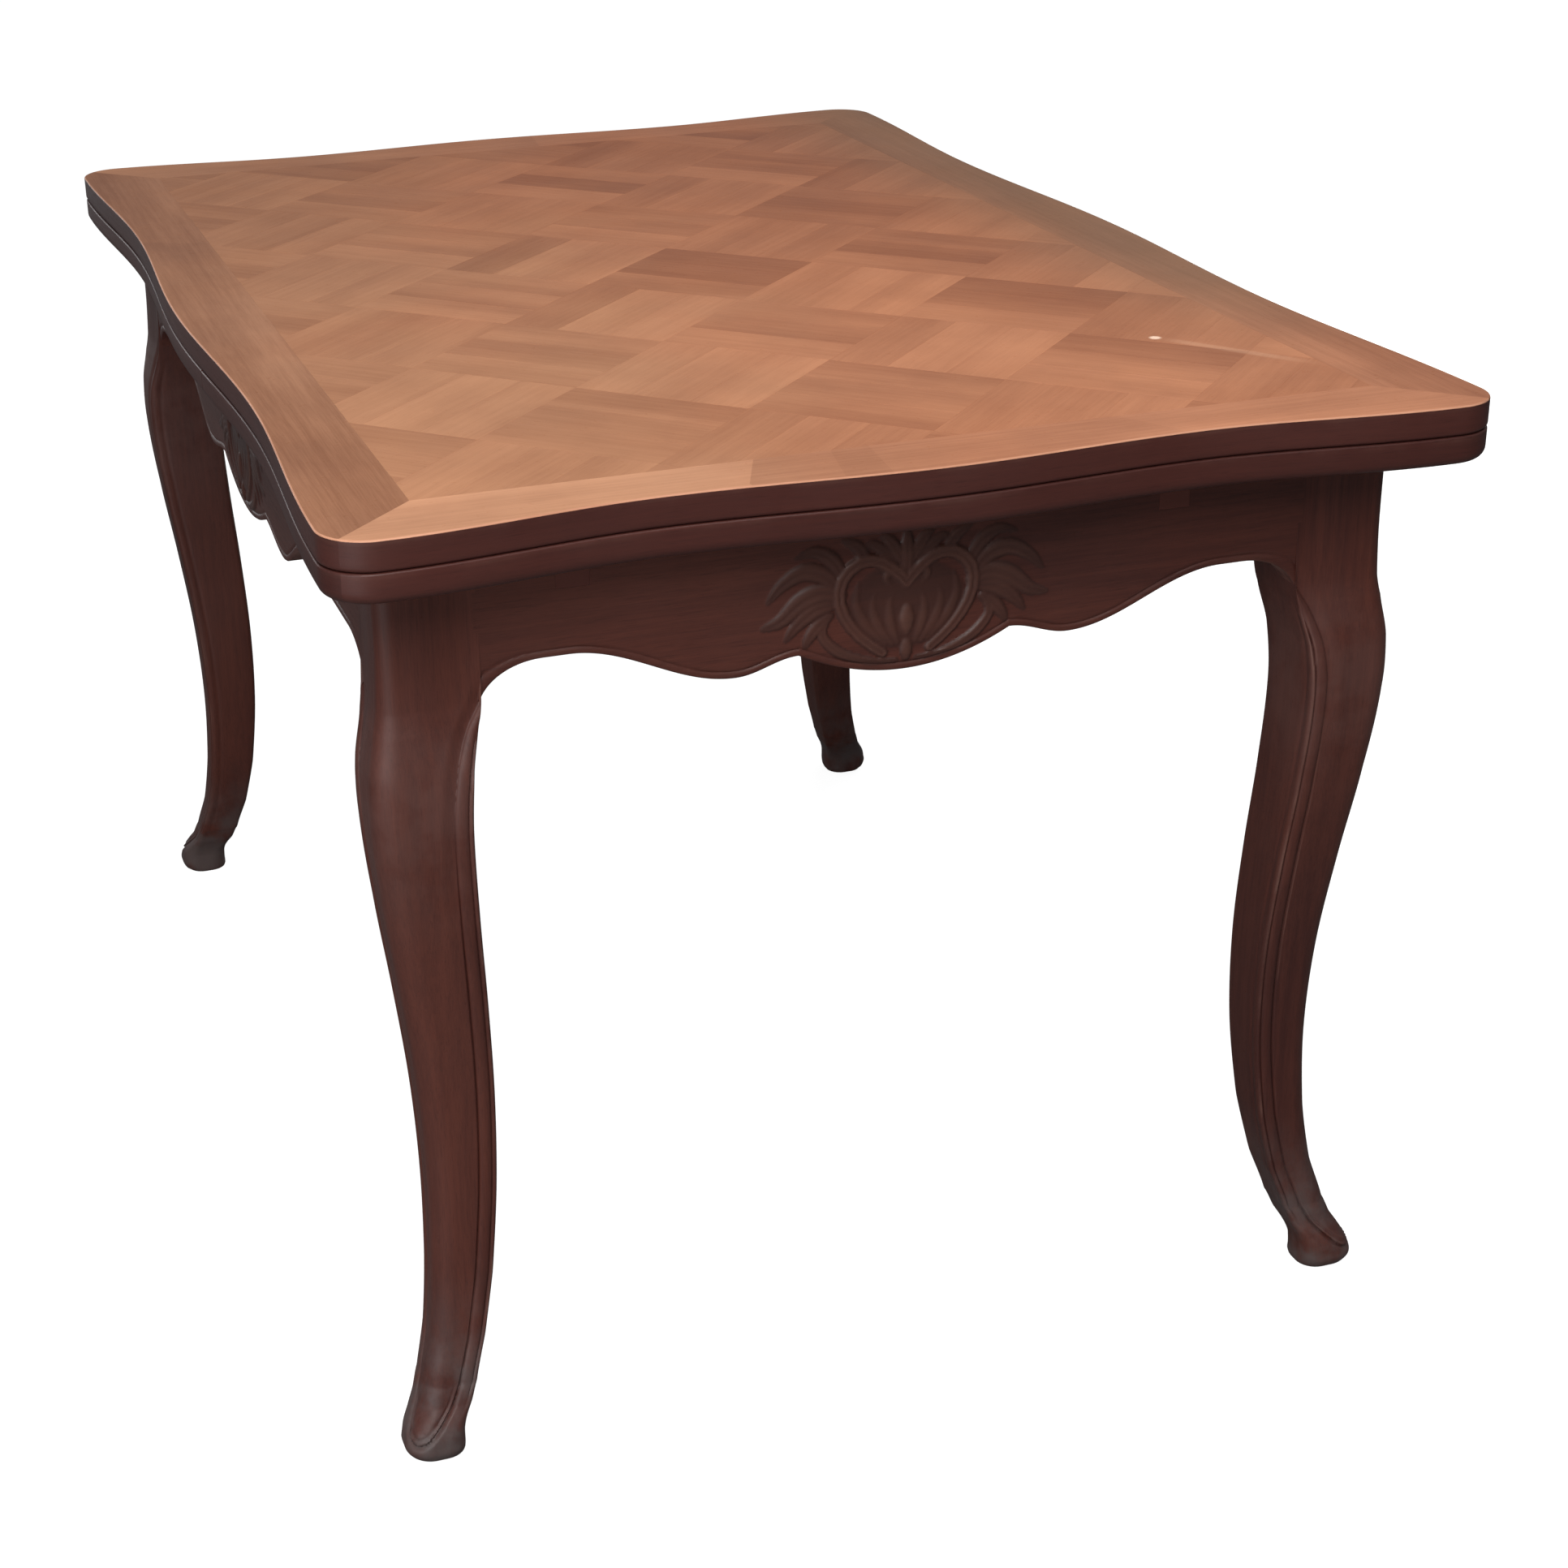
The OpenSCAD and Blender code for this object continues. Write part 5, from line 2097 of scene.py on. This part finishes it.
@dataclass(frozen=True)
class Studio:
    """Camera, lights and floor."""

    focal_px: float = 3348.78
    frame_px: float = 1932.0
    centre_px: Point = (832.89, 963.21)
    eye: Triple = (-704.83 * MM, -2213.41 * MM, 1304.18 * MM)
    azimuth: float = -0.3077
    elevation: float = 0.4201
    roll: float = -0.0231
    sensor: float = 36.0
    clip_end: float = 100.0
    horizon: Triple = (0.14, 0.145, 0.15)
    zenith: Triple = (0.52, 0.53, 0.55)
    white: tuple[float, float, float, float] = (1.0, 1.0, 1.0, 1.0)
    floor_r: float = 30.0
    floor_glow: float = 0.90
    lights: tuple[SoftBox, ...] = (
        SoftBox("key", (-0.8, -2.4, 2.4), (1.3, 1.3), 64.0, tint=(1.0, 0.985, 0.96)),
        SoftBox("left_low", (-1.9, -1.8, 0.75), (1.5, 0.9), 20.0, (-0.3, -0.5, 0.4), (0.97, 0.98, 1.0)),
        SoftBox("back_low", (2.0, 2.4, 0.42), (1.8, 0.5), 26.0, (0.1, 0.2, 0.42)),
        SoftBox("back_left", (-1.7, 3.2, 0.95), (0.7, 1.0), 11.0, (-0.4, 0.0, 0.66), (0.97, 0.98, 1.0)),
        SoftBox("top_fill", (-0.2, -0.7, 2.7), (1.6, 1.6), 23.0),
    )

    def camera(self) -> None:
        """Set the camera at the photograph's place and angle."""
        data = bpy.data.cameras.new("camera")
        ahead = Vector((
            -math.sin(self.azimuth) * math.cos(self.elevation),
            math.cos(self.azimuth) * math.cos(self.elevation),
            -math.sin(self.elevation),
        ))
        right = ahead.cross(Vector((0, 0, 1))).normalized()
        up = right.cross(ahead)
        c, s = math.cos(self.roll), math.sin(self.roll)
        data.sensor_fit = "HORIZONTAL"
        data.sensor_width = self.sensor
        data.lens = self.sensor * self.focal_px / self.frame_px
        data.shift_x = (self.frame_px / 2 - self.centre_px[0]) / self.frame_px
        data.shift_y = (self.centre_px[1] - self.frame_px / 2) / self.frame_px
        data.clip_end = self.clip_end
        camera = bpy.data.objects.new("camera", data)
        bpy.context.collection.objects.link(camera)
        turn = Matrix((c * right + s * up, c * up - s * right, -ahead)).transposed().to_4x4()
        camera.matrix_world = Matrix.Translation(self.eye) @ turn
        bpy.context.scene.camera = camera

    def floor_material(self) -> Material:
        """Pale matt floor: white to the camera, dim in reflections and clear from below."""
        material = bpy.data.materials.new("pale_floor")
        material.use_nodes = True
        kit = NodeTree(material.node_tree)
        matt = material.node_tree.nodes["Principled BSDF"]
        shown = kit.add("ShaderNodeBsdfPrincipled")
        pale = kit.mix(kit.noise(kit.place(), 1.3, 3.0, 0.5), (0.29, 0.29, 0.29), (0.31, 0.31, 0.305))
        rays = kit.add("ShaderNodeLightPath").outputs
        colour = kit.mix(kit.times(rays["Is Glossy Ray"], 0.75), pale, (0.06, 0.06, 0.062))
        for shader in (matt, shown):
            for label, value in (("Base Color", colour), ("Roughness", 0.85), ("Specular IOR Level", 0.1)):
                kit.feed(value, shader.inputs[label])
        kit.feed(self.white, shown.inputs["Emission Color"])
        kit.feed(self.floor_glow, shown.inputs["Emission Strength"])
        both = kit.blend(rays["Is Camera Ray"], matt.outputs[0], shown.outputs[0])
        below = kit.add("ShaderNodeNewGeometry").outputs["Backfacing"]
        clear = kit.add("ShaderNodeBsdfTransparent").outputs[0]
        kit.feed(kit.blend(below, both, clear), material.node_tree.nodes["Material Output"].inputs[0])
        return material

    def floor(self) -> None:
        """Lay the floor, face up."""
        mesh = bpy.data.meshes.new("floor")
        shaper = bmesh.new()
        bmesh.ops.create_circle(shaper, cap_ends=True, segments=96, radius=self.floor_r)
        shaper.normal_update()
        for face in shaper.faces:
            if face.normal.z < 0:
                face.normal_flip()
        shaper.to_mesh(mesh)
        shaper.free()
        mesh.materials.append(self.floor_material())
        floor = bpy.data.objects.new("floor", mesh)
        bpy.context.collection.objects.link(floor)

    def world(self) -> None:
        """Soft surroundings, darker at the horizon, behind a white backdrop."""
        world = bpy.data.worlds.new("studio")
        world.use_nodes = True
        kit = NodeTree(world.node_tree)
        sky = world.node_tree.nodes["Background"]
        backdrop = kit.add("ShaderNodeBackground")
        kit.feed(self.white, backdrop.inputs["Color"])
        height = kit.ramp(kit.parts(kit.add("ShaderNodeTexCoord").outputs["Generated"])[2], 0.0, 0.9)
        kit.feed(kit.mix(height, self.horizon, self.zenith), sky.inputs["Color"])
        seen = kit.add("ShaderNodeLightPath").outputs["Is Camera Ray"]
        both = kit.blend(seen, sky.outputs[0], backdrop.outputs[0])
        kit.feed(both, world.node_tree.nodes["World Output"].inputs[0])
        bpy.context.scene.world = world

    def build(self) -> None:
        """Set up the whole studio."""
        self.world()
        self.floor()
        self.camera()
        for light in self.lights:
            light.build()
        bpy.context.scene.view_settings.view_transform = "Standard"


class Table:
    """The whole table."""

    def __init__(self) -> None:
        """Read the sizes and prepare the finishes."""
        self.levels = Heights.from_frame()
        self.plan = Serpentine(self.levels)
        self.palette = Palette()

    def build_top(self) -> None:
        """The loose top."""
        finishes = self.palette
        top = TopLayer("top", "top", self.plan, self.levels.top_z, self.levels.table_z)
        top.build_edging(finishes.edging.material(), ["top_edging"])
        faces = [finish.material() for finish in (finishes.top_banding, finishes.edging, finishes.rubbed)]
        top.build_banding(faces, ["top_banding"], TOP_SHEETS)
        BasketWeave(top).build(finishes.top_field.material(), ["top_field"])

    def build_leaf(self, letter: str, half_turn: bool, seed: int) -> None:
        """Edging, banding and field of one draw leaf.

        Args:
            letter: The leaf's letter.
            half_turn: Whether it lies at end B.
            seed: Seed of its veneer's tones.
        """
        node = f"leaf_{letter}"
        leaf = TopLayer(
            node, node, self.plan, self.levels.leaf_z, self.levels.leaf_top,
            bottom_round=8 * MM, stained_from=2, pale_from=99, is_leaf=True, half_turn=half_turn,
        )
        edging = self.palette.edging.material()
        leaf.build_edging(edging, [f"{node}_edging"])
        leaf.build_banding([self.palette.leaf_banding.material(), edging], [f"{node}_banding"], LEAF_SHEETS)
        BasketWeave(leaf, seed=seed).build(self.palette.leaf_field.material(), [f"{node}_field"])

    def build_aprons(self) -> None:
        """The four aprons, the end ones notched for the lopers."""
        levels = self.levels
        ends = ApronEdge(levels.leg_in_x, 0.26, 0.41, 0.80)
        sides = ApronEdge(levels.leg_in_y, 0.205, 0.355, 0.57)
        along_x, along_y = (self.palette.carved_along(grain) for grain in (Grain.ALONG_X, Grain.ALONG_Y))
        notches = tuple((place - NOTCH_HALF, place + NOTCH_HALF) for place in LOPER_PLACES)
        for name, side, edge, face, cuts, finish in (
            ("end_apron_a", Side.END_A, ends, levels.end_face, notches, along_x),
            ("end_apron_b", Side.END_B, ends, levels.end_face, notches, along_x),
            ("side_apron_left", Side.LEFT, sides, levels.side_face, (), along_y),
            ("side_apron_right", Side.RIGHT, sides, levels.side_face, (), along_y),
        ):
            Apron(name, side, edge, face, levels.apron_t, levels.frame_z, cuts).build(finish)

    def build_legs(self) -> None:
        """The four legs."""
        corner = (self.levels.leg_in_x + Leg.post_w, self.levels.leg_in_y + Leg.post_w)
        wood = self.palette.leg_finish()
        for letter, sign_y in (("a", -1), ("b", 1)):
            for word, sign_x in (("left", -1), ("right", 1)):
                Leg(f"leg_{letter}_{word}", sign_x, sign_y, self.levels.frame_z, corner).build(wood)

    def build_board(self) -> None:
        """The centre board, with holes where its screws are."""
        low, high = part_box("centre_board_screws")
        xs = (low.x + SCREW_HEAD_R, 0.0, high.x - SCREW_HEAD_R)
        ys = (low.y + SCREW_HEAD_R, high.y - SCREW_HEAD_R)
        wood = self.palette.inner_along(Grain.ALONG_X)
        CentreBoard(self.plan).build(wood, self.palette.edging.material(), [(x, y) for x in xs for y in ys])

    def dress_nodes(self, nodes: dict[str, Piece]) -> None:
        """Give every node that still shows its finish.

        Args:
            nodes: The frame's nodes by name.
        """
        grains = {
            "centre_rail": Grain.ALONG_X, "corner_blocks": Grain.ALONG_Z, "loper": Grain.ALONG_Y,
            "core": Grain.ALONG_Y, "pegs": Grain.ALONG_Z,
        }
        steel = SteelFinish().material()
        for name, node in nodes.items():
            finish = steel
            if "screws" not in name:
                grain = next((g for word, g in grains.items() if word in name), Grain.ALONG_X)
                finish = self.palette.inner_along(grain, LoperWood if "loper" in name else WoodFinish)
            for slot in node.material_slots:
                slot.material = finish
            LOG.info("%s: dressed in %s", name, finish.name)

    def build(self, nodes: dict[str, Piece]) -> None:
        """Build and dress everything.

        Args:
            nodes: The frame's nodes by name.
        """
        self.dress_nodes(nodes)
        self.build_top()
        self.build_leaf("a", False, 17)
        self.build_leaf("b", True, 23)
        self.build_aprons()
        self.build_legs()
        self.build_board()


def main() -> None:
    """Load the frame, and build the table and its studio."""
    logging.basicConfig(level=logging.INFO, format="%(message)s")
    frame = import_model()
    Studio().build()
    Table().build(frame["nodes"])


if __name__ == "__main__":
    main()
